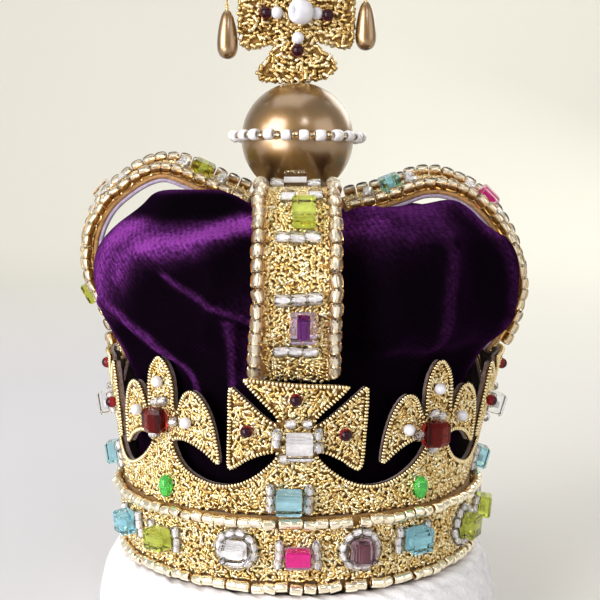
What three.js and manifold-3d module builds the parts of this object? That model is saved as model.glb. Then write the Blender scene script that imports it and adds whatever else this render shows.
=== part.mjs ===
// Miniature coronation crown in goldwork embroidery: a padded white base roll, a jewelled band,
// an openwork cresting of crosses and lilies, beaded arches over a puffed velvet cap, and a pearl
// monde that carries a flat cross with two small drops.
// Millimetres, +Z up, front towards -Y. Z = 0 is the surface the crown stands on.
import * as THREE from "three";
import { mergeVertices } from "three/addons/utils/BufferGeometryUtils.js";
import Module from "manifold-3d";

const wasm = await Module();
wasm.setup();

// ---------------------------------------------------------------- driving sizes
const BAND_Z = 17; // height of the lower bead row above the resting surface; "z" in the tables counts from here
const AXIS_X = -1.4; // ring axis against the middle of the whole outline (the right arch swings wider)
const GAP = 0.3; // clearance between neighbouring pieces
const FELT = 1.6; // cresting wall, felt with its gold chips
const RING_R = 33; // radius at which widths along the ring are measured
const WALL_R = 31.6; // outer radius of the cresting at WALL_Z
const WALL_Z = 14;
const CREST_FOOT_Z = 11.5; // cresting stands on the band here

const STRIP_W = 12.2; // arch felt strip
const STRIP_T = 1.5;
const BEAD_D = 2.2; // beads along the arches
const BEAD_LATERAL = 5.75; // bead row from the middle of its arch
const BEAD_START = 1.8; // beads begin this far up the strip, above the cross they spring from
const ARCH_ROLL = 0.19; // the side arches are rolled towards the front: rise of the rear edge for each mm across

const BAND_BEAD_D = 1.7;
const BAND_ROW_LOWER = { r: 31.85, z: 0 };
const BAND_ROW_UPPER = { r: 32.75, z: 10.6 };

const MONDE_R = 10;
const MONDE_Z = 71.28;
const MONDE_BORE_R = 1.0;
const PIN_R = 0.6;
const MONDE_RING_R = 11.4;
const MONDE_RING_Z = 71.6;
const MONDE_BEAD_D = 2.0;

const CROSS_Z = 93.8; // middle of the top cross
const CROSS_T = 2.4;
const CROSS_PEARL_D = 4.1;
const CROSS_PEARL_X = 0.6; // the pearl is sewn a little to the right of the middle
const CROSS_PEARL_DROP = 0.75; // and below it

const WIRE_R = 0.25;
const EYE_R = 1.1; // wire eye on the cross, to the middle of the wire
const LOOP_R = 0.95; // wire loop on the drop
const DROP_L = 8.5;
const DROP_D = 3.7;

const CAP_T = 1.5; // velvet with its backing

// ---------------------------------------------------------------- tables
// Lean of the cresting wall, outwards, at each motif; azimuth 0 is the front, 90 the right.
const LEAN = [
  { azimuth: 0, degrees: 12 },
  { azimuth: 45, degrees: 3 },
  { azimuth: 90, degrees: 16 },
  { azimuth: 135, degrees: 3 },
  { azimuth: 180, degrees: 12 },
  { azimuth: 225, degrees: 3 },
  { azimuth: 270, degrees: 8 },
  { azimuth: 315, degrees: 2 },
];

// Half outline of a cross, from its top middle down its side to the foot of the scallop. u is along the ring.
const CROSS_HALF = [
  { u: 0, z: 34.2, at: "top" },
  { u: 7.8, z: 34.0, at: "top" },
  { u: 8.7, z: 33.3, at: "top corner" },
  { u: 4.4, z: 29.2, at: "top arm side" },
  { u: 2.9, z: 27.4, at: "slit" },
  { u: 3.2, z: 26.7, at: "slit" },
  { u: 9.7, z: 32.8, at: "side arm" },
  { u: 10.5, z: 33.1, at: "side arm corner" },
  { u: 11.0, z: 32.2, at: "side arm corner" },
  { u: 10.9, z: 21.0, at: "side arm edge" },
  { u: 10.4, z: 19.4, at: "side arm tip" },
  { u: 9.5, z: 19.3, at: "side arm tip" },
  { u: 6.0, z: 21.8, at: "side arm under" },
  { u: 2.9, z: 22.5, at: "neck" },
  { u: 3.7, z: 20.9, at: "foot" },
  { u: 6.7, z: 18.2, at: "foot" },
  { u: 9.6, z: 16.7, at: "scallop" },
];
// The front cross leans a little to the right and its side arms hang lower than the others.
const CROSS_FRONT_RIGHT = [
  { u: 0, z: 33.3, at: "top" },
  { u: 7.3, z: 32.9, at: "top" },
  { u: 8.1, z: 32.3, at: "top corner" },
  { u: 4.0, z: 28.6, at: "top arm side" },
  { u: 2.7, z: 27.1, at: "slit" },
  { u: 3.1, z: 26.4, at: "slit" },
  { u: 9.8, z: 32.2, at: "side arm" },
  { u: 10.6, z: 32.5, at: "side arm corner" },
  { u: 11.1, z: 31.7, at: "side arm corner" },
  { u: 11.0, z: 25.4, at: "side arm edge" },
  { u: 10.9, z: 19.9, at: "side arm edge" },
  { u: 10.4, z: 18.8, at: "side arm tip" },
  { u: 9.5, z: 18.5, at: "side arm tip" },
  { u: 6.4, z: 20.9, at: "side arm under" },
  { u: 3.0, z: 22.3, at: "neck" },
  { u: 3.7, z: 20.7, at: "foot" },
  { u: 6.7, z: 18.1, at: "foot" },
  { u: 9.6, z: 16.6, at: "scallop" },
];
const CROSS_FRONT_LEFT = [
  { u: 0, z: 33.3, at: "top" },
  { u: 7.5, z: 34.0, at: "top" },
  { u: 8.3, z: 33.5, at: "top corner" },
  { u: 4.6, z: 29.4, at: "top arm side" },
  { u: 2.9, z: 27.6, at: "slit" },
  { u: 3.2, z: 26.5, at: "slit" },
  { u: 9.3, z: 32.1, at: "side arm" },
  { u: 10.1, z: 32.5, at: "side arm corner" },
  { u: 10.6, z: 31.7, at: "side arm corner" },
  { u: 11.0, z: 25.7, at: "side arm edge" },
  { u: 11.6, z: 20.2, at: "side arm edge" },
  { u: 11.5, z: 18.9, at: "side arm tip" },
  { u: 10.7, z: 18.5, at: "side arm tip" },
  { u: 7.2, z: 20.9, at: "side arm under" },
  { u: 3.0, z: 22.2, at: "neck" },
  { u: 3.7, z: 20.7, at: "foot" },
  { u: 6.7, z: 18.1, at: "foot" },
  { u: 9.6, z: 16.6, at: "scallop" },
];
// Hand-cut differences of the four lilies: shift along the ring, and lift of the petals.
const LILIES = [
  { azimuth: 45, shift: 0.5, lift: 0 },
  { azimuth: 135, shift: -0.3, lift: 0.3 },
  { azimuth: 225, shift: 0.3, lift: 0.4 },
  { azimuth: 315, shift: 0.7, lift: 0.7 },
];
// Half outline of a lily, from the foot of the scallop to its tip. w is from the middle of the lily.
const LILY_HALF = [
  { w: 12.96, z: 16.0, at: "scallop" },
  { w: 9.2, z: 16.5, at: "scallop" },
  { w: 5.4, z: 18.2, at: "scallop" },
  { w: 2.9, z: 20.8, at: "stem" },
  { w: 2.7, z: 22.2, at: "stem" },
  { w: 5.8, z: 22.5, at: "petal under" },
  { w: 9.3, z: 21.2, at: "petal under" },
  { w: 11.6, z: 19.3, at: "petal tip" },
  { w: 12.7, z: 19.3, at: "petal tip" },
  { w: 12.0, z: 24.6, at: "petal side" },
  { w: 10.7, z: 28.0, at: "petal side" },
  { w: 8.9, z: 30.0, at: "petal top" },
  { w: 7.1, z: 30.4, at: "petal top" },
  { w: 5.3, z: 29.3, at: "petal top" },
  { w: 4.0, z: 26.2, at: "notch" },
  { w: 3.4, z: 26.2, at: "notch" },
  { w: 3.5, z: 30.6, at: "middle petal" },
  { w: 2.5, z: 33.4, at: "middle petal" },
  { w: 0, z: 35.6, at: "tip" },
];

// Outer outline of each arch over its bead tops, from the cross upwards to the middle.
const ARCH_LEFT = [
  { r: 33.5, z: 33.0 },
  { r: 34.6, z: 37.2 },
  { r: 36.5, z: 41.2 },
  { r: 38.7, z: 45.6 },
  { r: 39.4, z: 50.6 },
  { r: 38.7, z: 55.8 },
  { r: 36.0, z: 61.2 },
  { r: 31.9, z: 65.1 },
  { r: 27.0, z: 67.9 },
  { r: 22.6, z: 68.6 },
  { r: 14.5, z: 65.6 },
  { r: 7.7, z: 62.6 },
];
const ARCH_RIGHT = [
  { r: 36.4, z: 33.0 },
  { r: 38.9, z: 36.4 },
  { r: 41.0, z: 40.4 },
  { r: 41.9, z: 45.0 },
  { r: 41.3, z: 49.6 },
  { r: 39.6, z: 54.4 },
  { r: 36.8, z: 58.9 },
  { r: 32.4, z: 63.2 },
  { r: 27.3, z: 65.5 },
  { r: 22.0, z: 65.8 },
  { r: 14.5, z: 63.4 },
  { r: 7.7, z: 61.9 },
];
const ARCH_FRONT = [
  { r: 34.2, z: 33.0 },
  { r: 36.3, z: 36.6 },
  { r: 39.1, z: 40.8 },
  { r: 40.4, z: 45.6 },
  { r: 40.3, z: 50.2 },
  { r: 38.8, z: 55.0 },
  { r: 35.7, z: 59.6 },
  { r: 31.4, z: 62.9 },
  { r: 26.2, z: 64.5 },
  { r: 21.0, z: 64.6 },
  { r: 13.0, z: 63.0 },
  { r: 0, z: 62.0 },
];

// Sections of the velvet cap from the rim to the crown: under an arch, and in the puff between two arches.
const CAP_ROWS = [
  { arch_r: 28.4, arch_z: -0.4, puff_r: 28.4, puff_z: -0.4 },
  { arch_r: 28.6, arch_z: 11.5, puff_r: 28.6, puff_z: 11.5 },
  { arch_r: 29.2, arch_z: 20, puff_r: 29.3, puff_z: 20 },
  { arch_r: 29.3, arch_z: 28, puff_r: 29.7, puff_z: 28 },
  { arch_r: 29.3, arch_z: 33.5, puff_r: 30.0, puff_z: 35.6 },
  { arch_r: 29.9, arch_z: 38, puff_r: 33.4, puff_z: 38.2 },
  { arch_r: 31.7, arch_z: 42, puff_r: 36.9, puff_z: 41.4 },
  { arch_r: 33.3, arch_z: 46, puff_r: 38.2, puff_z: 45.5 },
  { arch_r: 34.2, arch_z: 50, puff_r: 38.2, puff_z: 50 },
  { arch_r: 33.6, arch_z: 53.6, puff_r: 36.4, puff_z: 54.4 },
  { arch_r: 31.0, arch_z: 56.5, puff_r: 32.6, puff_z: 58.4 },
  { arch_r: 27.3, arch_z: 58.6, puff_r: 27.2, puff_z: 60.8 },
  { arch_r: 21.6, arch_z: 59.2, puff_r: 21.2, puff_z: 61.3 },
  { arch_r: 14.6, arch_z: 57.1, puff_r: 14.6, puff_z: 59.6 },
  { arch_r: 7.6, arch_z: 56.1, puff_r: 7.6, puff_z: 57.2 },
];
const CAP_CROWN_Z = 55.8;
const CAP_PUFF_FROM = 7.0; // distance from the middle of an arch where the puff begins to rise
const CAP_PUFF_FULL = 13.5; // and where it is full
const CAP_SWAY = 1.6; // the puffs stand wider on the right than on the left
// Main folds of the front of the cap, as swells and hollows: where each lies, its reach along the ring in degrees and
// up in mm, and its height. The back of the cap is folded in the same way, turned half round.
const CAP_SWELLS = [
  { azimuth: -28, z: 54.6, along: 14, tall: 2.6, height: 1.2 }, // shelf left of the front arch
  { azimuth: -36, z: 57.6, along: 15, tall: 1.6, height: -1.5 }, // furrow behind the shelf
  { azimuth: -38, z: 61.0, along: 17, tall: 1.4, height: 2.4 }, // and the step up to the crown
  { azimuth: -31, z: 47, along: 9, tall: 5.4, height: -3.2 }, // deep hollow under the shelf
  { azimuth: -21, z: 45, along: 8, tall: 6, height: -3.0 },
  { azimuth: -57, z: 49, along: 9, tall: 6, height: 0.8 },
  { azimuth: -57, z: 39, along: 6, tall: 2.6, height: -1.2 },
  { azimuth: 25, z: 47, along: 12, tall: 8, height: -0.8 },
  { azimuth: 40, z: 47, along: 4.5, tall: 7, height: 0.9 }, // upright fold right of the front arch
  { azimuth: 49, z: 48, along: 5.5, tall: 8, height: -1.8 }, // and the furrow beside it
];
// The puffs bulge over the cresting between each lily and the side cross.
const CAP_LOW_SWELLS = [
  { azimuth: 68, z: 37.0, along: 10, tall: 4.0, height: 4.0 },
  { azimuth: -68, z: 37.0, along: 10, tall: 4.0, height: 4.6 },
];

// Section of the base roll, flattened where it stands. Z is from the resting surface.
const ROLL_SECTION = [
  { r: 29.4, Z: 0 },
  { r: 34.4, Z: 0 },
  { r: 35.9, Z: 1.5 },
  { r: 36.4, Z: 4.6 },
  { r: 36.1, Z: 8.0 },
  { r: 35.3, Z: 11.4 },
  { r: 34.0, Z: 14.3 },
  { r: 32.3, Z: 15.7 },
  { r: 29.6, Z: 15.5 },
  { r: 28.2, Z: 13.0 },
  { r: 27.9, Z: 7.5 },
  { r: 28.3, Z: 1.8 },
];

// Section of the band: rebates at its lower and upper edges take the two bead rows.
const BAND_SECTION = [
  { r: 29.0, z: -0.6 },
  { r: 30.6, z: -0.6 },
  { r: 30.6, z: 1.2 },
  { r: 31.5, z: 1.2 },
  { r: 32.2, z: 9.3 },
  { r: 31.5, z: 9.3 },
  { r: 31.5, z: 11.2 },
  { r: 29.4, z: 11.2 },
];

// Lower outline of the top cross from its left side to its right, hand cut and not quite even. The upper
// half is taken as its mirror.
const TOP_CROSS_LOWER = [
  { x: -10.2, z: 0 },
  { x: -10.2, z: -4.5 },
  { x: -9.8, z: -5.9 },
  { x: -8.8, z: -6.6 },
  { x: -7.0, z: -6.2 },
  { x: -4.4, z: -5.8 },
  { x: -5.3, z: -8.4 },
  { x: -6.8, z: -10.5 },
  { x: -7.0, z: -11.6 },
  { x: -5.8, z: -12.3 },
  { x: -1.0, z: -12.4 },
  { x: 3.5, z: -12.1 },
  { x: 5.7, z: -11.3 },
  { x: 6.9, z: -9.9 },
  { x: 6.4, z: -8.5 },
  { x: 4.5, z: -6.6 },
  { x: 3.4, z: -5.2 },
  { x: 5.6, z: -5.6 },
  { x: 8.1, z: -6.5 },
  { x: 9.3, z: -6.2 },
  { x: 9.8, z: -5.3 },
  { x: 9.9, z: 0 },
];

// Teardrop section from its tip down; at is the share of the length, r the share of the half width.
const DROP_SECTION = [
  { at: 0, r: 0 },
  { at: 0.015, r: 0.24 },
  { at: 0.1, r: 0.46 },
  { at: 0.27, r: 0.72 },
  { at: 0.47, r: 0.91 },
  { at: 0.67, r: 1 },
  { at: 0.83, r: 0.95 },
  { at: 0.94, r: 0.7 },
  { at: 0.985, r: 0.36 },
  { at: 1, r: 0 },
];
const DROPS = [
  { name: "drop_left", x: -12.4, top_z: 93.8 },
  { name: "drop_right", x: 12.1, top_z: 95.3 },
];

// Gems on the band and the cresting; width, height and depth of each glass cube.
const RING_GEMS = [
  { name: "gem_band_01", azimuth: 0.3, z: 5.6, w: 4.0, h: 2.9, d: 3.0, colour: 0xc81e78 },
  { name: "gem_band_02", azimuth: 18.1, z: 6.0, w: 3.6, h: 3.6, d: 3.0, colour: 0x8d6aa8 },
  { name: "gem_band_03", azimuth: 35.6, z: 6.6, w: 4.0, h: 3.9, d: 3.0, colour: 0x4fb6c8 },
  { name: "gem_band_04", azimuth: 61.0, z: 5.5, w: 3.8, h: 3.8, d: 3.0, colour: 0xa9b23a },
  { name: "gem_band_05", azimuth: 80.7, z: 6.0, w: 3.8, h: 3.8, d: 3.0, colour: 0x9ec22c },
  { name: "gem_band_06", azimuth: 102, z: 5.6, w: 3.8, h: 3.8, d: 3.0, colour: 0xdfe6ea },
  { name: "gem_band_07", azimuth: 123, z: 5.6, w: 3.8, h: 3.8, d: 3.0, colour: 0x4fb6c8 },
  { name: "gem_band_08", azimuth: 144, z: 5.6, w: 3.8, h: 3.8, d: 3.0, colour: 0x9ec22c },
  { name: "gem_band_09", azimuth: 165, z: 5.6, w: 3.8, h: 3.8, d: 3.0, colour: 0xdfe6ea },
  { name: "gem_band_10", azimuth: 186, z: 5.6, w: 4.1, h: 3.3, d: 3.0, colour: 0xc81e78 },
  { name: "gem_band_11", azimuth: 207, z: 5.6, w: 3.8, h: 3.8, d: 3.0, colour: 0x8d6aa8 },
  { name: "gem_band_12", azimuth: 228, z: 5.6, w: 3.8, h: 3.8, d: 3.0, colour: 0x4fb6c8 },
  { name: "gem_band_13", azimuth: 249, z: 5.6, w: 3.8, h: 3.8, d: 3.0, colour: 0x9ec22c },
  { name: "gem_band_14", azimuth: -60.0, z: 6.4, w: 3.8, h: 3.7, d: 3.0, colour: 0x4fb6c8 },
  { name: "gem_band_15", azimuth: -42.7, z: 5.9, w: 4.1, h: 3.4, d: 3.0, colour: 0x9ec22c },
  { name: "gem_band_16", azimuth: -17.3, z: 6.0, w: 3.8, h: 3.3, d: 3.0, colour: 0xdfe6ea },
  { name: "gem_teal_front", azimuth: -2.1, z: 14.6, w: 4.0, h: 3.7, d: 3.0, colour: 0x2f8f96 },
  { name: "gem_teal_right", azimuth: 90, z: 14.1, w: 4.0, h: 3.8, d: 3.0, colour: 0x55bcc4 },
  { name: "gem_teal_back", azimuth: 180, z: 14.1, w: 4.0, h: 3.8, d: 3.0, colour: 0x2f8f96 },
  { name: "gem_teal_left", azimuth: 270, z: 14.7, w: 4.0, h: 3.8, d: 3.0, colour: 0x2f8f96 },
  { name: "gem_cross_front", azimuth: 0.6, z: 23.85, w: 4.1, h: 3.9, d: 3.0, colour: 0xe4e8ea },
  { name: "gem_cross_right", azimuth: 90, z: 23.9, w: 4.1, h: 3.9, d: 3.0, colour: 0xe4e8ea },
  { name: "gem_cross_back", azimuth: 180, z: 23.9, w: 4.1, h: 3.9, d: 3.0, colour: 0xe4e8ea },
  { name: "gem_cross_left", azimuth: 270, z: 23.9, w: 4.1, h: 3.9, d: 3.0, colour: 0xe4e8ea },
  { name: "gem_lily_front_right", azimuth: 41.9, z: 23.4, w: 4.6, h: 4.0, d: 3.0, colour: 0x6d1230 },
  { name: "gem_lily_back_right", azimuth: 135, z: 24.4, w: 4.5, h: 4.1, d: 3.0, colour: 0x6d1230 },
  { name: "gem_lily_back_left", azimuth: 225, z: 24.4, w: 4.5, h: 4.1, d: 3.0, colour: 0x6d1230 },
  { name: "gem_lily_front_left", azimuth: -43.1, z: 25.5, w: 4.3, h: 3.8, d: 3.0, colour: 0x6d1230 },
];
// Gems on the arches; along is the distance up the strip from its foot, side the shift across it.
const ARCH_GEMS = [
  { name: "gem_arch_front_low", arch: "front", along: 10.4, side: 1.0, w: 3.9, h: 4.2, colour: 0x7a3f9a },
  { name: "gem_arch_front_top", arch: "front", along: 29.6, side: 1.0, w: 3.5, h: 4.6, colour: 0x9ec22c },
  { name: "gem_arch_front_crest", arch: "front", along: 44.6, side: -0.3, w: 3.6, h: 3.6, colour: 0xe8d3de },
  { name: "gem_arch_back_low", arch: "back", along: 13.2, side: 0, w: 3.8, h: 3.8, colour: 0x2f8f96 },
  { name: "gem_arch_back_top", arch: "back", along: 33.6, side: 0, w: 3.8, h: 3.8, colour: 0x7a3f9a },
  { name: "gem_arch_left_low", arch: "left", along: 11.4, side: 0, w: 3.8, h: 3.8, colour: 0x9ec22c },
  { name: "gem_arch_left_mid", arch: "left", along: 31.7, side: 0, w: 3.6, h: 3.6, colour: 0xe8d3de },
  { name: "gem_arch_left_top", arch: "left", along: 52.2, side: 0, w: 3.8, h: 3.8, colour: 0x9ec22c },
  { name: "gem_arch_right_mid", arch: "right", along: 31.9, side: 0, w: 3.8, h: 3.8, colour: 0xd85a8c },
  { name: "gem_arch_right_top", arch: "right", along: 51.6, side: 0, w: 3.8, h: 3.8, colour: 0x4fb6c8 },
];
const GEM_DEPTH_ARCH = 3.0;
const GEM_BEVEL = 0.55;

// ---------------------------------------------------------------- finishes
const finish = (colour, roughness, metalness = 0) =>
  new THREE.MeshStandardMaterial({ color: colour, roughness, metalness });
const GOLD_CHIPS = finish(0xd9a441, 0.38, 1);
const GOLD_BEAD = finish(0xd8b668, 0.18, 0.6);
const VELVET = finish(0x3d1060, 0.9);
const PLUSH = finish(0xf4f1f2, 0.95);
const BRONZE_PEARL = finish(0x8a6a3c, 0.22, 0.4);
const WHITE_BEAD = finish(0xf2efe8, 0.2);

// ---------------------------------------------------------------- helpers
const RAD = Math.PI / 180;
const smooth = (t) => {
  const c = Math.min(1, Math.max(0, t));
  return c * c * (3 - 2 * c);
};
const degreesApart = (a, b) => Math.abs(((((a - b) % 360) + 540) % 360) - 180);

const crown = new THREE.Group();
crown.position.set(AXIS_X, 0, BAND_Z);

function place(name, geometry, material, parent = crown) {
  const mesh = new THREE.Mesh(geometry, material);
  mesh.name = name;
  parent.add(mesh);
  return mesh;
}

// A closed geometry as a solid for joining, and back.
function solid(geometry, matrix = new THREE.Matrix4()) {
  const plain = new THREE.BufferGeometry();
  plain.setAttribute("position", geometry.getAttribute("position").clone());
  if (geometry.index) plain.setIndex(geometry.index.clone());
  plain.applyMatrix4(matrix);
  const merged = mergeVertices(plain, 1e-4);
  return new wasm.Manifold(
    new wasm.Mesh({
      numProp: 3,
      vertProperties: new Float32Array(merged.getAttribute("position").array),
      triVerts: new Uint32Array(merged.index.array),
    }),
  );
}
function fromSolid(joined) {
  const m = joined.getMesh();
  const g = new THREE.BufferGeometry();
  g.setAttribute("position", new THREE.BufferAttribute(new Float32Array(m.vertProperties), 3));
  g.setIndex(new THREE.BufferAttribute(new Uint32Array(m.triVerts), 1));
  return g;
}

// A lathe about Z from a section of { r, z } points.
function lathe(section, segments) {
  const g = new THREE.LatheGeometry(
    section.map((p) => new THREE.Vector2(p.r, p.z)),
    segments,
  );
  return g.rotateX(Math.PI / 2);
}
const closedRing = (section) => [...section, section[0]];

// ---------------------------------------------------------------- cresting wall
// Tangent of the wall's lean at an azimuth, blended between the motifs of the table.
function leanAt(azimuth) {
  const a = ((azimuth % 360) + 360) % 360;
  const step = 360 / LEAN.length;
  const i = Math.floor(a / step) % LEAN.length;
  const t = smooth((a - LEAN[i].azimuth) / step);
  const d = LEAN[i].degrees * (1 - t) + LEAN[(i + 1) % LEAN.length].degrees * t;
  return Math.tan(d * RAD);
}
const wallRadius = (azimuth, z) => WALL_R + leanAt(azimuth) * (z - WALL_Z);
const onRing = (azimuth, r, z) =>
  new THREE.Vector3(r * Math.sin(azimuth * RAD), -r * Math.cos(azimuth * RAD), z);

// The upper outline of the cresting once round the ring, with u from 0 to the ring's length.
function crestOutline() {
  const quarter = (Math.PI / 2) * RING_R;
  const line = [];
  for (let k = 0; k < 4; k++) {
    const cross = k * quarter;
    const lily = cross + quarter / 2;
    const { shift, lift } = LILIES[k];
    const petal = (p, side) => [
      lily + side * p.w + (p.z > 20 || p.at === "petal tip" ? shift : 0),
      p.z + (p.z > 24 ? lift : 0),
    ];
    (k === 0 ? CROSS_FRONT_RIGHT : CROSS_HALF).forEach((p) => line.push([cross + p.u, p.z]));
    LILY_HALF.forEach((p) => line.push(petal(p, -1)));
    [...LILY_HALF].reverse().slice(1).forEach((p) => line.push(petal(p, 1)));
    [...(k === 3 ? CROSS_FRONT_LEFT : CROSS_HALF)]
      .reverse()
      .slice(0, -1)
      .forEach((p) => line.push([cross + quarter - p.u, p.z]));
  }
  line.push([4 * quarter, CROSS_FRONT_RIGHT[0].z]);
  return line;
}

// A curved wall under an outline that may overhang: the outline is cut into upright slabs at each of
// its corners, each slab into trapezoids, and the trapezoids give the two faces and the edges of the wall.
function wallUnder(line, footZ, pointAt) {
  const key = (v) => Math.round(v * 1e4) / 1e4;
  const outline = line.map(([u, z]) => [key(u), key(z)]);
  const length = outline[outline.length - 1][0];
  const cuts = [...new Set(outline.map((p) => key(p[0])))].sort((a, b) => a - b);
  const edges = outline.slice(1).map((b, i) => [outline[i], b]);
  const zOn = (e, u) => e[0][1] + ((e[1][1] - e[0][1]) * (u - e[0][0])) / (e[1][0] - e[0][0]);
  const slabs = cuts.slice(1).map((u1, i) => {
    const u0 = cuts[i];
    const mid = (u0 + u1) / 2;
    const crossing = edges
      .filter((e) => Math.min(e[0][0], e[1][0]) < mid && Math.max(e[0][0], e[1][0]) > mid)
      .map((e) => ({ z0: key(zOn(e, u0)), z1: key(zOn(e, u1)), m: zOn(e, mid) }))
      .sort((a, b) => a.m - b.m);
    const heights = [{ z0: footZ, z1: footZ }, ...crossing];
    const cells = [];
    for (let j = 0; j + 1 < heights.length; j += 2)
      cells.push({ u0, u1, low: heights[j], high: heights[j + 1] });
    return cells;
  });
  const onCut = new Map(cuts.map((u) => [u, new Set()]));
  outline.forEach((p) => onCut.get(key(p[0])).add(key(p[1])));
  slabs.flat().forEach((c) => {
    onCut.get(c.u0).add(c.low.z0).add(c.high.z0);
    onCut.get(c.u1).add(c.low.z1).add(c.high.z1);
  });
  onCut.get(cuts[0]).forEach((z) => onCut.get(cuts[cuts.length - 1]).add(z));
  onCut.get(cuts[cuts.length - 1]).forEach((z) => onCut.get(cuts[0]).add(z));

  const vertices = [];
  const index = new Map();
  const vertex = (u, z, side) => {
    const wrapped = key(u) === key(length) ? 0 : key(u);
    const id = wrapped + "/" + key(z) + "/" + side;
    if (!index.has(id)) {
      index.set(id, vertices.length / 3);
      vertices.push(...pointAt(wrapped, z, side).toArray());
    }
    return index.get(id);
  };
  const triangles = [];
  const rim = new Map();
  const between = (u, a, b) => [...onCut.get(u)].filter((z) => z > a + 1e-6 && z < b - 1e-6).sort((x, y) => x - y);
  slabs.flat().forEach((c) => {
    const loop = [[c.u0, c.low.z0], [c.u1, c.low.z1]];
    between(c.u1, c.low.z1, c.high.z1).forEach((z) => loop.push([c.u1, z]));
    loop.push([c.u1, c.high.z1], [c.u0, c.high.z0]);
    between(c.u0, c.low.z0, c.high.z0).reverse().forEach((z) => loop.push([c.u0, z]));
    const outer = loop.map((p) => vertex(p[0], p[1], 1)).filter((v, i, all) => v !== all[(i + 1) % all.length]);
    const inner = loop.map((p) => vertex(p[0], p[1], 0)).filter((v, i, all) => v !== all[(i + 1) % all.length]);
    for (let i = 1; i + 1 < outer.length; i++) {
      triangles.push(outer[0], outer[i], outer[i + 1]);
      triangles.push(inner[0], inner[i + 1], inner[i]);
    }
    outer.forEach((v, i) => {
      const n = (i + 1) % outer.length;
      const back = outer[n] + ">" + v;
      if (rim.has(back)) rim.delete(back);
      else rim.set(v + ">" + outer[n], [v, outer[n], inner[i], inner[n]]);
    });
  });
  rim.forEach(([a, b, c, d]) => triangles.push(a, c, d, a, d, b));
  const g = new THREE.BufferGeometry();
  g.setAttribute("position", new THREE.Float32BufferAttribute(vertices, 3));
  g.setIndex(triangles);
  return g;
}
place(
  "cresting",
  wallUnder(crestOutline(), CREST_FOOT_Z, (u, z, side) => {
    const azimuth = u / RING_R / RAD;
    return onRing(azimuth, wallRadius(azimuth, z) - (side ? 0 : FELT), z);
  }),
  GOLD_CHIPS,
);

// ---------------------------------------------------------------- band, base roll and bead rows
place("circlet_band", lathe(closedRing(BAND_SECTION), 60), GOLD_CHIPS);
place(
  "ermine_band",
  lathe(closedRing(ROLL_SECTION.map((p) => ({ r: p.r, z: p.Z - BAND_Z }))), 44),
  PLUSH,
);
function beadRing(r, z, d, segments, sides = 6) {
  const section = [];
  for (let i = 0; i < sides; i++) {
    const a = (i / sides) * 2 * Math.PI;
    section.push({ r: r + (d / 2) * Math.cos(a), z: z + (d / 2) * Math.sin(a) });
  }
  return lathe(closedRing(section), segments);
}
place("band_beads_lower", beadRing(BAND_ROW_LOWER.r, BAND_ROW_LOWER.z, BAND_BEAD_D, 60), GOLD_BEAD);
place("band_beads_upper", beadRing(BAND_ROW_UPPER.r, BAND_ROW_UPPER.z, BAND_BEAD_D, 60), GOLD_BEAD);

// ---------------------------------------------------------------- arches
// The line of a strip's upper face: the bead-top outline moved in by a bead and its gap.
const profileCurve = (rows) =>
  new THREE.CatmullRomCurve3(rows.map((p) => new THREE.Vector3(p.r, 0, p.z)), false, "centripetal");
function archLine(rows, wholeSpan) {
  const all = wholeSpan ? [...rows, ...rows.slice(0, -1).reverse().map((p) => ({ r: -p.r, z: p.z }))] : rows;
  const curve = profileCurve(all);
  curve.arcLengthDivisions = 400;
  return {
    length: curve.getLength(),
    // Place and frame at a distance along: out is away from the cap, on runs up the arch.
    at(distance) {
      const t = Math.min(1, Math.max(0, distance / curve.getLength()));
      const p = curve.getPointAt(t);
      const on = curve.getTangentAt(t);
      const out = new THREE.Vector3(on.z, 0, -on.x);
      return { p: p.addScaledVector(out, -(BEAD_D + GAP)), on, out };
    },
  };
}
const ARCHES = {
  front: { line: archLine(ARCH_FRONT, true), turn: -90, roll: 0, node: "arch_front_back" },
  left: { line: archLine(ARCH_LEFT, false), turn: 180, roll: -ARCH_ROLL, node: "arch_left" },
  right: { line: archLine(ARCH_RIGHT, false), turn: 0, roll: ARCH_ROLL, node: "arch_right" },
};
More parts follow.
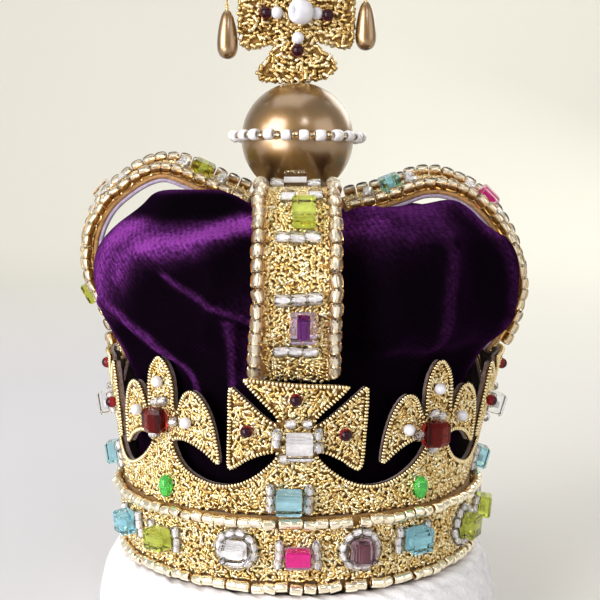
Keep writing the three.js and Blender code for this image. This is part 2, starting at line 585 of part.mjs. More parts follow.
// The roll of a strip at a distance along: none where it stands on its cross.
const rollAt = (arch, distance) => arch.roll * smooth((distance - 1) / 9);
const ARCH_STEPS = { front: 44, left: 22, right: 22 };
Object.entries(ARCHES).forEach(([key, arch]) => {
  const holder = new THREE.Group();
  holder.rotation.z = arch.turn * RAD;
  crown.add(holder);
  const steps = ARCH_STEPS[key];
  const { line } = arch;
  // A straight bar of the strip's section, bent along the arch.
  const bar = new THREE.BoxGeometry(line.length, STRIP_W, STRIP_T, steps, 1, 1);
  const pos = bar.getAttribute("position");
  for (let i = 0; i < pos.count; i++) {
    const distance = pos.getX(i) + line.length / 2;
    const f = line.at(distance);
    const rise = rollAt(arch, distance) * pos.getY(i);
    const q = f.p.clone().addScaledVector(f.out, pos.getZ(i) - STRIP_T / 2 + rise);
    pos.setXYZ(i, q.x, pos.getY(i), q.z);
  }
  place(arch.node, facingOut(bar), GOLD_CHIPS, holder);
  // A bead row along each edge, on top of the felt.
  [1, -1].forEach((side) => {
    const from = BEAD_START;
    const to = key === "front" ? line.length - BEAD_START : line.length;
    const rows = [];
    for (let i = 0; i <= steps; i++) {
      const distance = from + ((to - from) * i) / steps;
      const f = line.at(distance);
      const rise = rollAt(arch, distance) * side * BEAD_LATERAL;
      const q = f.p.clone().addScaledVector(f.out, BEAD_D / 2 + GAP + rise);
      rows.push(new THREE.Vector3(q.x, side * BEAD_LATERAL, q.z));
    }
    const path = new THREE.CatmullRomCurve3(rows, false, "centripetal");
    const ring = new THREE.Shape();
    for (let i = 0; i < 6; i++) {
      const a = (i / 6) * 2 * Math.PI;
      const x = (BEAD_D / 2) * Math.cos(a);
      const y = (BEAD_D / 2) * Math.sin(a);
      if (i) ring.lineTo(x, y);
      else ring.moveTo(x, y);
    }
    const tube = new THREE.ExtrudeGeometry(ring, { steps, extrudePath: path, bevelEnabled: false });
    const which = { front: ["right", "left"], left: ["front", "back"], right: ["back", "front"] }[key];
    place("beads_" + arch.node.slice(5) + "_" + which[side > 0 ? 0 : 1], facingOut(tube), GOLD_BEAD, holder);
  });
});
// Turns a closed geometry's faces outwards.
function facingOut(geometry) {
  const g = new THREE.BufferGeometry();
  g.setAttribute("position", geometry.getAttribute("position").clone());
  if (geometry.index) g.setIndex(geometry.index.clone());
  const m = mergeVertices(g, 1e-4);
  const p = m.getAttribute("position");
  const idx = m.index.array;
  const v = (i) => new THREE.Vector3().fromBufferAttribute(p, i);
  let volume = 0;
  for (let i = 0; i < idx.length; i += 3)
    volume += v(idx[i]).dot(v(idx[i + 1]).cross(v(idx[i + 2])));
  if (volume < 0)
    for (let i = 0; i < idx.length; i += 3) [idx[i + 1], idx[i + 2]] = [idx[i + 2], idx[i + 1]];
  return m;
}

// ---------------------------------------------------------------- velvet cap
function capPoint(row, azimuth) {
  const fromArch = degreesApart((((azimuth + 45) % 90) + 90) % 90, 45);
  const aside = row.arch_r * Math.sin(fromArch * RAD);
  const puff = smooth((aside - CAP_PUFF_FROM) / (CAP_PUFF_FULL - CAP_PUFF_FROM));
  // Furrows and sway show from the top of the cresting to the crown and fade towards both.
  const rise = smooth((row.puff_z - 32) / 10) * smooth((row.puff_r - 8) / 18);
  const wide = row.puff_r + CAP_SWAY * Math.sin(azimuth * RAD) * rise;
  const r = row.arch_r + (wide - row.arch_r) * puff;
  const z = row.arch_z + (row.puff_z - row.arch_z) * puff;
  const swell = (table) =>
    table.reduce((sum, f) => {
      const d = Math.min(degreesApart(azimuth, f.azimuth), degreesApart(azimuth, f.azimuth + 180)) / f.along;
      const e = (z - f.z) / f.tall;
      return sum + f.height * Math.exp(-d * d - e * e);
    }, 0);
  return { r: r + swell(CAP_SWELLS) * rise * puff + swell(CAP_LOW_SWELLS) * puff, z };
}
function capGeometry(segments) {
  const rows = CAP_ROWS.length;
  // Outer rows from the crown to the rim, then inner rows back to the crown, on one closed section.
  const section = [];
  for (let i = 0; i < 2 * rows + 2; i++) section.push({ r: i === 0 || i === 2 * rows + 1 ? 0 : 10, z: i });
  const g = lathe([...section].reverse(), segments);
  const pos = g.getAttribute("position");
  const perTurn = section.length;
  for (let s = 0; s <= segments; s++) {
    const azimuth = ((s % segments) / segments) * 360;
    const line = CAP_ROWS.map((row) => capPoint(row, azimuth));
    const crownEnd = { r: 0, z: CAP_CROWN_Z };
    const full = [...line, crownEnd];
    const inward = (i) => {
      const a = full[Math.max(0, i - 1)];
      const b = full[Math.min(full.length - 1, i + 1)];
      const d = Math.hypot(b.r - a.r, b.z - a.z);
      return { r: -(b.z - a.z) / d, z: (b.r - a.r) / d };
    };
    for (let j = 0; j < perTurn; j++) {
      const back = perTurn - 1 - j; // the lathe section runs the other way
      let p;
      if (back === 0) p = crownEnd;
      else if (back === perTurn - 1) p = { r: 0, z: CAP_CROWN_Z - CAP_T };
      else if (back <= rows) p = line[rows - back];
      else {
        const i = back - rows - 1;
        const n = inward(i);
        const lift = i === 0 ? 0 : 1;
        p = { r: line[i].r + n.r * CAP_T, z: line[i].z + n.z * CAP_T * lift };
      }
      const q = onRing(azimuth, p.r, p.z);
      pos.setXYZ(s * perTurn + j, q.x, q.y, q.z);
    }
  }
  return facingOut(g);
}
place("velvet_cap", capGeometry(56), VELVET);

// ---------------------------------------------------------------- monde, its beads, the cross and the drops
const mondeSection = [];
const MONDE_ROWS = 14;
const boreAngle = Math.asin(MONDE_BORE_R / MONDE_R);
for (let i = 0; i <= MONDE_ROWS; i++) {
  const a = -Math.PI / 2 + boreAngle + ((Math.PI - 2 * boreAngle) * i) / MONDE_ROWS;
  mondeSection.push({ r: MONDE_R * Math.cos(a), z: MONDE_Z + MONDE_R * Math.sin(a) });
}
place("monde", facingOut(lathe(closedRing(mondeSection), 28)), BRONZE_PEARL);
place("monde_beads", beadRing(MONDE_RING_R, MONDE_RING_Z, MONDE_BEAD_D, 40), WHITE_BEAD);

// A round wire between two points, and a round wire ring.
function wire(from, to, radius, sides = 8) {
  const a = new THREE.Vector3(...from);
  const b = new THREE.Vector3(...to);
  const g = new THREE.CylinderGeometry(radius, radius, a.distanceTo(b), sides);
  const turn = new THREE.Quaternion().setFromUnitVectors(
    new THREE.Vector3(0, 1, 0),
    b.clone().sub(a).normalize(),
  );
  return solid(g, new THREE.Matrix4().compose(a.add(b).multiplyScalar(0.5), turn, new THREE.Vector3(1, 1, 1)));
}
function wireRing(centre, radius, facing) {
  const g = new THREE.TorusGeometry(radius, WIRE_R, 6, 16);
  if (facing === "x") g.rotateY(Math.PI / 2);
  else g.rotateX(Math.PI / 2);
  return solid(g, new THREE.Matrix4().makeTranslation(...centre));
}
// The drop's loop hangs on the eye's lowest wire with a little room all round.
const LOOP_ABOVE_DROP = 2.2; // from the drop's tip to the middle of its loop
const EYE_ABOVE_LOOP = 0.3 + EYE_R; // from the middle of the loop to the middle of the eye

const plate = new THREE.Shape();
const crossLoop = [
  ...TOP_CROSS_LOWER.map((p) => [p.x, p.z]),
  ...TOP_CROSS_LOWER.slice(1, -1).reverse().map((p) => [p.x, -p.z]),
];
crossLoop.forEach(([x, z], i) => (i ? plate.lineTo(x, z) : plate.moveTo(x, z)));
const plateGeometry = new THREE.ExtrudeGeometry(plate, { depth: CROSS_T, bevelEnabled: false, steps: 1 });
plateGeometry.rotateX(Math.PI / 2).translate(0, CROSS_T / 2, CROSS_Z);
let crossSolid = solid(facingOut(plateGeometry));
crossSolid = crossSolid.add(wire([0, 0, MONDE_Z - MONDE_R - 1.4], [0, 0, CROSS_Z - 9], PIN_R, 10));
DROPS.forEach((d) => {
  const eyeZ = d.top_z + LOOP_ABOVE_DROP + EYE_ABOVE_LOOP;
  const side = Math.sign(d.x);
  crossSolid = crossSolid
    .add(wireRing([d.x, 0, eyeZ], EYE_R, "y"))
    .add(wire([side * 9, 0, eyeZ], [d.x - side * EYE_R, 0, eyeZ], WIRE_R));
});
place("top_cross", fromSolid(crossSolid), GOLD_CHIPS);

const pearl = new THREE.SphereGeometry(CROSS_PEARL_D / 2, 14, 8);
pearl.translate(CROSS_PEARL_X, -(CROSS_T / 2 + GAP + CROSS_PEARL_D / 2), CROSS_Z - CROSS_PEARL_DROP);
place("cross_pearl", facingOut(pearl), WHITE_BEAD);

DROPS.forEach((d) => {
  const body = lathe(
    DROP_SECTION.map((p) => ({ r: (p.r * DROP_D) / 2, z: -p.at * DROP_L })).reverse(),
    14,
  );
  const loopZ = d.top_z + LOOP_ABOVE_DROP;
  const joined = solid(facingOut(body), new THREE.Matrix4().makeTranslation(d.x, 0, d.top_z))
    .add(wire([d.x, 0, d.top_z - 1.5], [d.x, 0, loopZ - LOOP_R], WIRE_R))
    .add(wireRing([d.x, 0, loopZ], LOOP_R, "x"));
  place(d.name, fromSolid(joined), BRONZE_PEARL);
});

// ---------------------------------------------------------------- gems
// A cube bead with all its edges bevelled, its back on z = 0, w across and h up.
function gemGeometry(w, h, d) {
  const b = GEM_BEVEL;
  const face = new THREE.Shape();
  face.moveTo(-w / 2 + b, -h / 2 + b);
  face.lineTo(w / 2 - b, -h / 2 + b);
  face.lineTo(w / 2 - b, h / 2 - b);
  face.lineTo(-w / 2 + b, h / 2 - b);
  const g = new THREE.ExtrudeGeometry(face, {
    depth: d - 2 * b,
    bevelEnabled: true,
    bevelThickness: b,
    bevelSize: b,
    bevelSegments: 1,
  });
  return facingOut(g.translate(0, 0, b));
}
// Stands a gem at a point: across, up and out are its own x, y and z.
function standGem(g, p, across, up, out, colour, parent = crown) {
  const mesh = place(g.name, gemGeometry(g.w, g.h, g.d), finish(colour, 0.08), parent);
  mesh.quaternion.setFromRotationMatrix(new THREE.Matrix4().makeBasis(across, up, out));
  mesh.position.copy(p);
  return mesh;
}
const bandRadius = (z) => {
  const low = BAND_SECTION[3];
  const high = BAND_SECTION[4];
  return low.r + ((high.r - low.r) * (z - low.z)) / (high.z - low.z);
};
RING_GEMS.forEach((g) => {
  const onBand = g.z < CREST_FOOT_Z;
  const slope = onBand ? (bandRadius(1) - bandRadius(0)) : leanAt(g.azimuth);
  const r = (onBand ? bandRadius(g.z) : wallRadius(g.azimuth, g.z)) + GAP;
  const across = onRing(g.azimuth + 90, 1, 0);
  const up = onRing(g.azimuth, slope, 1).normalize();
  const out = across.clone().cross(up);
  standGem(g, onRing(g.azimuth, r, g.z).addScaledVector(out, 0.05), across, up, out, g.colour);
});
ARCH_GEMS.forEach((g) => {
  const arch = ARCHES[g.arch === "back" ? "front" : g.arch];
  const distance = g.arch === "back" ? arch.line.length - g.along : g.along;
  const f = arch.line.at(distance);
  const turn = new THREE.Matrix4().makeRotationZ(arch.turn * RAD);
  const p = f.p.clone().addScaledVector(f.out, GAP).setY(g.side);
  const up = f.on.clone().transformDirection(turn);
  const flat = f.out.clone().transformDirection(turn);
  const out = flat.clone().addScaledVector(up.clone().cross(flat), -rollAt(arch, distance)).normalize();
  const across = up.clone().cross(out);
  standGem({ ...g, d: GEM_DEPTH_ARCH }, p.applyMatrix4(turn), across, up, out, g.colour);
});

export default crown;
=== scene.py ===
# Miniature coronation crown in goldwork: felt shapes covered with cut gold purl, edged with beaded
# wire, set with glass cubes and seed beads, over a puffed velvet cap and a white plush roll.
# Shapes are worked out in millimetres about the ring's axis, with z from the lower bead row, and
# moved to the row frame in metres when a mesh is made. Azimuth 0 is the front, 90 the right.
import math

import bmesh
import bpy
import numpy as np
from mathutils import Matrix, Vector


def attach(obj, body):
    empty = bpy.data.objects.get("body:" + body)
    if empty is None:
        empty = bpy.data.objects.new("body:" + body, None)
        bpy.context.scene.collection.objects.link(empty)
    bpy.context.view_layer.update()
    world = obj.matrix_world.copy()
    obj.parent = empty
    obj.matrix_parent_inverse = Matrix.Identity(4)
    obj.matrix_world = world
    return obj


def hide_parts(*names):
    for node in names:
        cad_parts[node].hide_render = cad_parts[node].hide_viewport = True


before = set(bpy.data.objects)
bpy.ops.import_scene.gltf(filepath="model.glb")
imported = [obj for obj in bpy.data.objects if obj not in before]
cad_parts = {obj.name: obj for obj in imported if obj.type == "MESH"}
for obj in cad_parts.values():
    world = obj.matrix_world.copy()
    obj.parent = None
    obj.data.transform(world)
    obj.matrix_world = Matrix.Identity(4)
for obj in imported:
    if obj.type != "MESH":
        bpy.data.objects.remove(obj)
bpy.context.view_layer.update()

MM = 0.001
AXIS_X, BAND_Z = -1.4, 17.0
RING_R, WALL_R, WALL_Z, CREST_FOOT_Z = 33.0, 31.6, 14.0, 11.5
FELT = 1.6
CHIP_BED = 0.62  # the felt lies this far below the face that the chips make up
STRIP_W, STRIP_T = 12.2, 1.5
BEAD_D, BEAD_LATERAL, BEAD_START, GAP = 2.2, 5.75, 1.8, 0.3
FOOT = 1.2  # how far the felt of an arch runs on below its bead rows
MONDE_R, MONDE_Z = 10.0, 71.28
CROSS_Z, CROSS_T = 93.8, 2.4
EYE_R, LOOP_R, WIRE_R = 1.1, 0.95, 0.25
RNG = np.random.default_rng(41)

# ---------------------------------------------------------------- tables of the shape
LEAN = [12, 3, 16, 3, 12, 3, 8, 2]  # degrees outwards, every 45 degrees from the front
CROSS_HALF = [
    (0, 34.2), (7.8, 34.0), (8.7, 33.3), (4.4, 29.2), (2.9, 27.4), (3.2, 26.7), (9.7, 32.8), (10.5, 33.1),
    (11.0, 32.2), (10.9, 21.0), (10.4, 19.4), (9.5, 19.3), (6.0, 21.8), (2.9, 22.5), (3.7, 20.9), (6.7, 18.2),
    (9.6, 16.7),
]
# The front cross leans a little to the right and its side arms hang lower than the others.
CROSS_FRONT_RIGHT = [
    (0, 33.3), (7.3, 32.9), (8.1, 32.3), (4.0, 28.6), (2.7, 27.1), (3.1, 26.4), (9.8, 32.2), (10.6, 32.5),
    (11.1, 31.7), (11.0, 25.4), (10.9, 19.9), (10.4, 18.8), (9.5, 18.5), (6.4, 20.9), (3.0, 22.3), (3.7, 20.7),
    (6.7, 18.1), (9.6, 16.6),
]
CROSS_FRONT_LEFT = [
    (0, 33.3), (7.5, 34.0), (8.3, 33.5), (4.6, 29.4), (2.9, 27.6), (3.2, 26.5), (9.3, 32.1), (10.1, 32.5),
    (10.6, 31.7), (11.0, 25.7), (11.6, 20.2), (11.5, 18.9), (10.7, 18.5), (7.2, 20.9), (3.0, 22.2), (3.7, 20.7),
    (6.7, 18.1), (9.6, 16.6),
]
LILIES = [(0.5, 0), (-0.3, 0.3), (0.3, 0.4), (0.7, 0.7)]  # shift along the ring and lift of the petals, from azimuth 45
LILY_HALF = [
    (12.96, 16.0), (9.2, 16.5), (5.4, 18.2), (2.9, 20.8), (2.7, 22.2), (5.8, 22.5), (9.3, 21.2), (11.6, 19.3),
    (12.7, 19.3), (12.0, 24.6), (10.7, 28.0), (8.9, 30.0), (7.1, 30.4), (5.3, 29.3), (4.0, 26.2), (3.4, 26.2),
    (3.5, 30.6), (2.5, 33.4), (0, 35.6),
]
ARCH_ROWS = {
    "left": [
        (33.5, 33.0), (34.6, 37.2), (36.5, 41.2), (38.7, 45.6), (39.4, 50.6), (38.7, 55.8), (36.0, 61.2),
        (31.9, 65.1), (27.0, 67.9), (22.6, 68.6), (14.5, 65.6), (7.7, 62.6),
    ],
    "right": [
        (36.4, 33.0), (38.9, 36.4), (41.0, 40.4), (41.9, 45.0), (41.3, 49.6), (39.6, 54.4), (36.8, 58.9),
        (32.4, 63.2), (27.3, 65.5), (22.0, 65.8), (14.5, 63.4), (7.7, 61.9),
    ],
    "front": [
        (34.2, 33.0), (36.3, 36.6), (39.1, 40.8), (40.4, 45.6), (40.3, 50.2), (38.8, 55.0), (35.7, 59.6),
        (31.4, 62.9), (26.2, 64.5), (21.0, 64.6), (13.0, 63.0), (0, 62.0),
    ],
}
ARCH_TURN = {"front": -90, "left": 180, "right": 0}
ARCH_ROLL = {"front": 0.0, "left": -0.19, "right": 0.19}  # the side arches are rolled towards the front
CAP_ROWS = np.array([
    (28.4, -0.4, 28.4, -0.4), (28.6, 11.5, 28.6, 11.5), (29.1, 20, 29.3, 20), (29.0, 28, 29.7, 28),
    (28.9, 33.5, 30.9, 35.4), (29.5, 38, 34.4, 38.0), (31.6, 42, 37.3, 41.4), (33.3, 46, 38.2, 45.5),
    (34.2, 50, 38.2, 50), (33.6, 53.6, 36.4, 54.4), (31.0, 56.5, 32.6, 58.4), (27.3, 58.6, 27.2, 60.8),
    (21.6, 59.2, 21.2, 61.3), (14.6, 57.1, 14.6, 59.6), (7.6, 56.1, 7.6, 57.2), (0.6, 55.8, 0.6, 55.9),
])
ROLL_SECTION = [
    (29.4, 0), (34.4, 0), (35.9, 1.5), (36.4, 4.6), (36.1, 8.0), (35.3, 11.4), (34.0, 14.3), (32.3, 15.7),
    (29.6, 15.5), (28.2, 13.0), (27.9, 7.5), (28.3, 1.8),
]
TOP_CROSS_LOWER = [  # the upper half is its mirror
    (-10.2, 0), (-10.2, -4.5), (-9.8, -5.9), (-8.8, -6.6), (-6.6, -6.0), (-3.4, -5.4), (-4.6, -8.2), (-6.7, -10.4),
    (-7.0, -11.6), (-5.8, -12.3), (-1.0, -12.4), (3.5, -12.1), (5.7, -11.3), (6.9, -9.9), (6.2, -8.7), (3.6, -6.8),
    (2.1, -5.0), (5.2, -5.4), (8.1, -6.5), (9.3, -6.2), (9.8, -5.3), (9.9, 0),
]
DROP_SECTION = [
    (0, 0.03), (0.010, 0.27), (0.05, 0.43), (0.13, 0.60), (0.27, 0.77), (0.46, 0.92), (0.66, 1), (0.8, 0.97), (0.9, 0.82), (0.96, 0.57),
    (0.99, 0.30), (1, 0.02),
]
DROP_L, DROP_D = 8.5, 3.7
DROPS = [("drop_left", -12.4, 93.8), ("drop_right", 12.1, 95.3)]
# Glass cubes on the ring: node, azimuth, z, width, height, colour, and how clear beads are set round each.
RING_GEMS = [
    ("gem_band_01", 0.3, 5.6, 4.0, 2.9, "pink", "columns"), ("gem_band_02", 18.1, 6.0, 3.6, 3.6, "plum", "halo"),
    ("gem_band_03", 35.6, 6.6, 4.0, 3.9, "aqua", "columns"), ("gem_band_04", 61.0, 5.5, 3.8, 3.8, "peridot", "halo"),
    ("gem_band_05", 80.7, 6.0, 3.8, 3.8, "peridot", "columns"), ("gem_band_06", 102, 5.6, 3.8, 3.8, "clear", "halo"),
    ("gem_band_07", 123, 5.6, 3.8, 3.8, "aqua", "columns"), ("gem_band_08", 144, 5.6, 3.8, 3.8, "peridot", "halo"),
    ("gem_band_09", 165, 5.6, 3.8, 3.8, "clear", "columns"), ("gem_band_10", 186, 5.6, 4.1, 3.3, "pink", "columns"),
    ("gem_band_11", 207, 5.6, 3.8, 3.8, "plum", "halo"), ("gem_band_12", 228, 5.6, 3.8, 3.8, "aqua", "columns"),
    ("gem_band_13", 249, 5.6, 3.8, 3.8, "peridot", "halo"), ("gem_band_14", -60.0, 6.4, 3.8, 3.7, "aqua", "columns"),
    ("gem_band_15", -42.7, 5.9, 4.1, 3.4, "peridot", "columns"), ("gem_band_16", -17.3, 6.0, 3.8, 3.3, "clear", "halo"),
    ("gem_teal_front", -2.1, 14.6, 4.0, 3.7, "teal", "columns"), ("gem_teal_right", 90, 14.1, 4.0, 3.8, "teal", "columns"),
    ("gem_teal_back", 180, 14.1, 4.0, 3.8, "teal", "columns"), ("gem_teal_left", 270, 14.7, 4.0, 3.8, "teal", "columns"),
    ("gem_cross_front", 0.6, 23.85, 4.1, 3.9, "clear", "cross"), ("gem_cross_right", 90, 23.9, 4.1, 3.9, "clear", "cross"),
    ("gem_cross_back", 180, 23.9, 4.1, 3.9, "clear", "cross"), ("gem_cross_left", 270, 23.9, 4.1, 3.9, "clear", "cross"),
    ("gem_lily_front_right", 41.9, 23.4, 4.6, 4.0, "garnet", ""), ("gem_lily_back_right", 135, 24.4, 4.5, 4.1, "garnet", ""),
    ("gem_lily_back_left", 225, 24.4, 4.5, 4.1, "garnet", ""), ("gem_lily_front_left", -43.1, 25.5, 4.3, 3.8, "garnet", ""),
]
# Glass cubes on the arches: node, arch, distance up it, shift across it, width, height, colour.
ARCH_GEMS = [
    ("gem_arch_front_low", "front", 10.4, 1.0, 3.9, 4.2, "amethyst"), ("gem_arch_front_top", "front", 29.6, 1.0, 3.5, 4.6, "peridot"),
    ("gem_arch_front_crest", "front", 44.6, -0.3, 3.6, 3.6, "clear"),
    ("gem_arch_back_low", "back", 13.2, 0, 3.8, 3.8, "teal"), ("gem_arch_back_top", "back", 33.6, 0, 3.8, 3.8, "amethyst"),
    ("gem_arch_left_low", "left", 11.4, 0, 3.8, 3.8, "peridot"), ("gem_arch_left_mid", "left", 31.7, 0, 3.6, 3.6, "clear"),
    ("gem_arch_left_top", "left", 52.2, 0, 3.8, 3.8, "peridot"),
    ("gem_arch_right_mid", "right", 31.9, 0, 3.8, 3.8, "pink"), ("gem_arch_right_top", "right", 51.6, 0, 3.8, 3.8, "aqua"),
]
# Rows of clear beads across the arches: arch, distance up it, shift across it, how many.
ARCH_ROWS_OF_BEADS = [
    ("front", 5.13, -0.26, 3), ("front", 14.97, 0.3, 3), ("front", 25.21, 0.11, 3), ("front", 34.3, -1.25, 1), ("front", 34.5, 2.8, 1),
    ("front", 44.6, -3.3, 1), ("front", 44.6, 2.7, 1), ("left", 0.9, 0, 1), ("right", 55.8, 0, 2),
    ("left", 7.6, 0, 3), ("left", 15.2, 0, 3), ("left", 27.9, 0, 3), ("left", 35.5, 0, 3), ("left", 48.5, 0, 3), ("left", 55.9, 0, 3),
    ("right", 8.0, 0, 3), ("right", 28.1, 0, 3), ("right", 35.7, 0, 3), ("right", 47.8, 0, 3),
    ("back", 9.0, 0, 3), ("back", 17.4, 0, 3), ("back", 29.4, 0, 3), ("back", 37.8, 0, 3),
]
# Beads sewn singly on the front cross and on the two front lilies: azimuth and z.
CROSS_CRYSTALS = [(-1.36, 27.0), (2.57, 27.0), (-5.35, 25.4), (-5.35, 24.0), (5.44, 25.3), (5.63, 23.2), (-3.5, 21.3)]
CROSS_GARNETS = [(-0.29, 31.0), (-13.1, 25.6), (12.6, 25.1)]
LILY_LEFT_CRYSTALS = [(-44.8, 28.3), (-41.5, 28.4), (-37.6, 25.4), (-46.3, 22.7)]
LILY_RIGHT_CRYSTALS = [(42.5, 26.3), (45.6, 25.8), (36.6, 23.3), (42.9, 20.4)]
LILY_LEFT_PEARLS = [(-43.4, 31.6), (-32.3, 25.7), (-54.2, 26.1)]
LILY_RIGHT_PEARLS = [(44.1, 30.4), (32.3, 24.6), (55.5, 25.0)]
GREEN_BEADS = [(-41.35, 14.5), (38.1, 14.6), (135, 14.5), (225, 14.5)]


# ---------------------------------------------------------------- meshes from arrays
def unit(v):
    return v / np.maximum(np.linalg.norm(v, axis=-1, keepdims=True), 1e-12)


def basis(along, hint):
    """Frames whose x is along, and whose z leans towards hint."""
    x = unit(along)
    z = unit(hint - (hint * x).sum(-1, keepdims=True) * x)
    return np.stack([x, np.cross(z, x), z], axis=-1)


def stamp(template, P, R, S):
    """Copies of a template (V, [faces]) at points P, in frames R, with sizes S."""
    V, F = template
    P, S = np.asarray(P, float), np.asarray(S, float)
    n, m = len(V), len(P)
    W = np.einsum("mij,mnj->mni", R, V[None] * S[:, None, :]) + P[:, None]
    step = (np.arange(m) * n)[:, None, None]
    return W.reshape(-1, 3), [(f[None] + step).reshape(-1, f.shape[1]) for f in F]


class Heap:
    """Collects shapes that become one mesh."""

    def __init__(self):
        self.v, self.f, self.m, self.a, self.n = [], [], [], {}, 0

    def add(self, V, F, mat=0, **attrs):
        for f in F:
            if len(f):
                self.f.append(np.asarray(f, np.int64) + self.n)
                self.m.append(np.full(len(f), mat) if np.isscalar(mat) else np.asarray(mat))
        for k, x in attrs.items():
            self.a.setdefault(k, []).append((self.n, np.broadcast_to(np.asarray(x, float), len(V))))
        self.v.append(np.asarray(V, float))
        self.n += len(V)

    def make(self, name, mats, slot, *nodes, smooth=True):
        me = bpy.data.meshes.new(name)
        V = (np.concatenate(self.v) + (AXIS_X, 0, BAND_Z)) * MM
        me.vertices.add(len(V))
        me.vertices.foreach_set("co", V.astype(np.float32).ravel())
        loops = np.concatenate([f.ravel() for f in self.f]).astype(np.int32)
        sizes = np.concatenate([np.full(len(f), f.shape[1]) for f in self.f])
        me.loops.add(len(loops))
        me.loops.foreach_set("vertex_index", loops)
        me.polygons.add(len(sizes))
        me.polygons.foreach_set("loop_start", np.concatenate([[0], np.cumsum(sizes)[:-1]]).astype(np.int32))
        me.polygons.foreach_set("material_index", np.concatenate(self.m).astype(np.int32))
        me.polygons.foreach_set("use_smooth", np.full(len(sizes), smooth))
        me.update(calc_edges=True)
        for k, parts in self.a.items():
            x = np.zeros(len(V), np.float32)
            for start, values in parts:
                x[start : start + len(values)] = values
            me.attributes.new(k, "FLOAT", "POINT").data.foreach_set("value", x)
        for m in mats if isinstance(mats, (list, tuple)) else [mats]:
            me.materials.append(m)
        ob = bpy.data.objects.new(name, me)
        bpy.context.scene.collection.objects.link(ob)
        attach(ob, "root")
        if nodes:
            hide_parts(*nodes)
        return ob


def grid_faces(rows, cols, wrap_rows=False, wrap_cols=False):
    i = np.arange(rows if wrap_rows else rows - 1)
    j = np.arange(cols if wrap_cols else cols - 1)
    i, j = (x.ravel() for x in np.meshgrid(i, j, indexing="ij"))
    i1, j1 = (i + 1) % rows, (j + 1) % cols
    return np.stack([i * cols + j, i * cols + j1, i1 * cols + j1, i1 * cols + j], -1)


def lathe_x(profile, sides, caps=True):
    """A turned template about x from (x, r) points."""
    p = np.array(profile, float)
    a = np.arange(sides) / sides * 2 * np.pi
    V = np.stack([
        np.repeat(p[:, 0], sides), np.outer(p[:, 1], np.cos(a)).ravel(), np.outer(p[:, 1], np.sin(a)).ravel(),
    ], -1)
    F = [grid_faces(len(p), sides, wrap_cols=True)]
    if caps:
        F.append(np.arange(sides)[None, ::-1])
        F.append(((len(p) - 1) * sides + np.arange(sides))[None])
    return V, F


def ring_x(section, sides):
    """A closed ring about x from a closed (x, r) section."""
    p = np.array(section, float)
    a = np.arange(sides) / sides * 2 * np.pi
    V = np.stack([
        np.repeat(p[:, 0], sides), np.outer(p[:, 1], np.cos(a)).ravel(), np.outer(p[:, 1], np.sin(a)).ravel(),
    ], -1)
    return V, [grid_faces(len(p), sides, wrap_rows=True, wrap_cols=True)[:, ::-1]]


def seed_bead(hole=0.36, square=2.6, around=9, sides=14):
    """A seed bead one unit across and one long, drilled along x; square is how barrel-like its wall is."""
    a = np.arange(around) / around * 2 * np.pi
    c, s = np.cos(a), np.sin(a)
    x = 0.5 * np.sign(c) * np.abs(c) ** (2 / square)
    r = (1 + hole) / 4 + (1 - hole) / 4 * np.sign(s) * np.abs(s) ** (2 / square)
    return ring_x(np.stack([x, r], -1), sides)


def ball(rings=8, sides=14):
    a = np.linspace(0.06, np.pi - 0.06, rings)
    return lathe_x(np.stack([-np.cos(a) / 2, np.sin(a) / 2], -1), sides)


def tube(P, radius, sides=8, closed=False):
    """A round wire along points P."""
    P = np.asarray(P, float)
    n = len(P)
    T = unit(np.roll(P, -1, 0) - np.roll(P, 1, 0)) if closed else unit(np.gradient(P, axis=0))
    ref = np.array([0.3, 0.2, 1.0]) if abs(T[0, 2]) < 0.9 else np.array([1.0, 0.2, 0.1])
    N = [unit(ref - ref.dot(T[0]) * T[0])]
    for i in range(1, n):
        N.append(unit(N[-1] - N[-1].dot(T[i]) * T[i]))
    N = np.array(N)
    B = np.cross(T, N)
    a = np.arange(sides) / sides * 2 * np.pi
    r = np.broadcast_to(np.asarray(radius, float), n)[:, None, None]
    V = P[:, None] + r * (np.cos(a)[None, :, None] * N[:, None] + np.sin(a)[None, :, None] * B[:, None])
    F = [grid_faces(n, sides, wrap_rows=closed, wrap_cols=True)]
    if not closed:
        F += [np.arange(sides)[None, ::-1], ((n - 1) * sides + np.arange(sides))[None]]
    return V.reshape(-1, 3), F


# ---------------------------------------------------------------- the shape in numbers
def on_ring(az, r, z):
    a = np.radians(np.asarray(az, float))
    r, z = np.asarray(r, float) + 0 * a, np.asarray(z, float) + 0 * a
    return np.stack([r * np.sin(a), -r * np.cos(a), z], -1)


def smoothstep(t):
    c = np.clip(t, 0, 1)
    return c * c * (3 - 2 * c)


def lean_at(az):
    a = np.mod(np.asarray(az, float), 360)
    i = np.floor(a / 45).astype(int) % 8
    t = smoothstep((a - i * 45) / 45)
    d = np.array(LEAN)[i] * (1 - t) + np.array(LEAN)[(i + 1) % 8] * t
    return np.tan(np.radians(d))


def wall_radius(az, z):
    return WALL_R + lean_at(az) * (np.asarray(z, float) - WALL_Z)


def band_radius(z):
    return 31.5 + 0.7 * (np.asarray(z, float) - 1.2) / 8.1


def ring_axes(az, slope):
    across = on_ring(np.asarray(az, float) + 90, 1, 0)
    up = unit(on_ring(az, slope, 1))
    return across, up, np.cross(across, up)


def crest_place(az, z, off=0.0):
    """Point and frame on the cresting's face."""
    across, up, out = ring_axes(az, lean_at(az))
    return on_ring(az, wall_radius(az, z), z) + out * np.asarray(off, float)[..., None], across, up, out


def band_place(az, z, off=0.0):
    across, up, out = ring_axes(az, 0.7 / 8.1 + 0 * np.asarray(az, float))
    return on_ring(az, band_radius(z), z) + out * np.asarray(off, float)[..., None], across, up, out


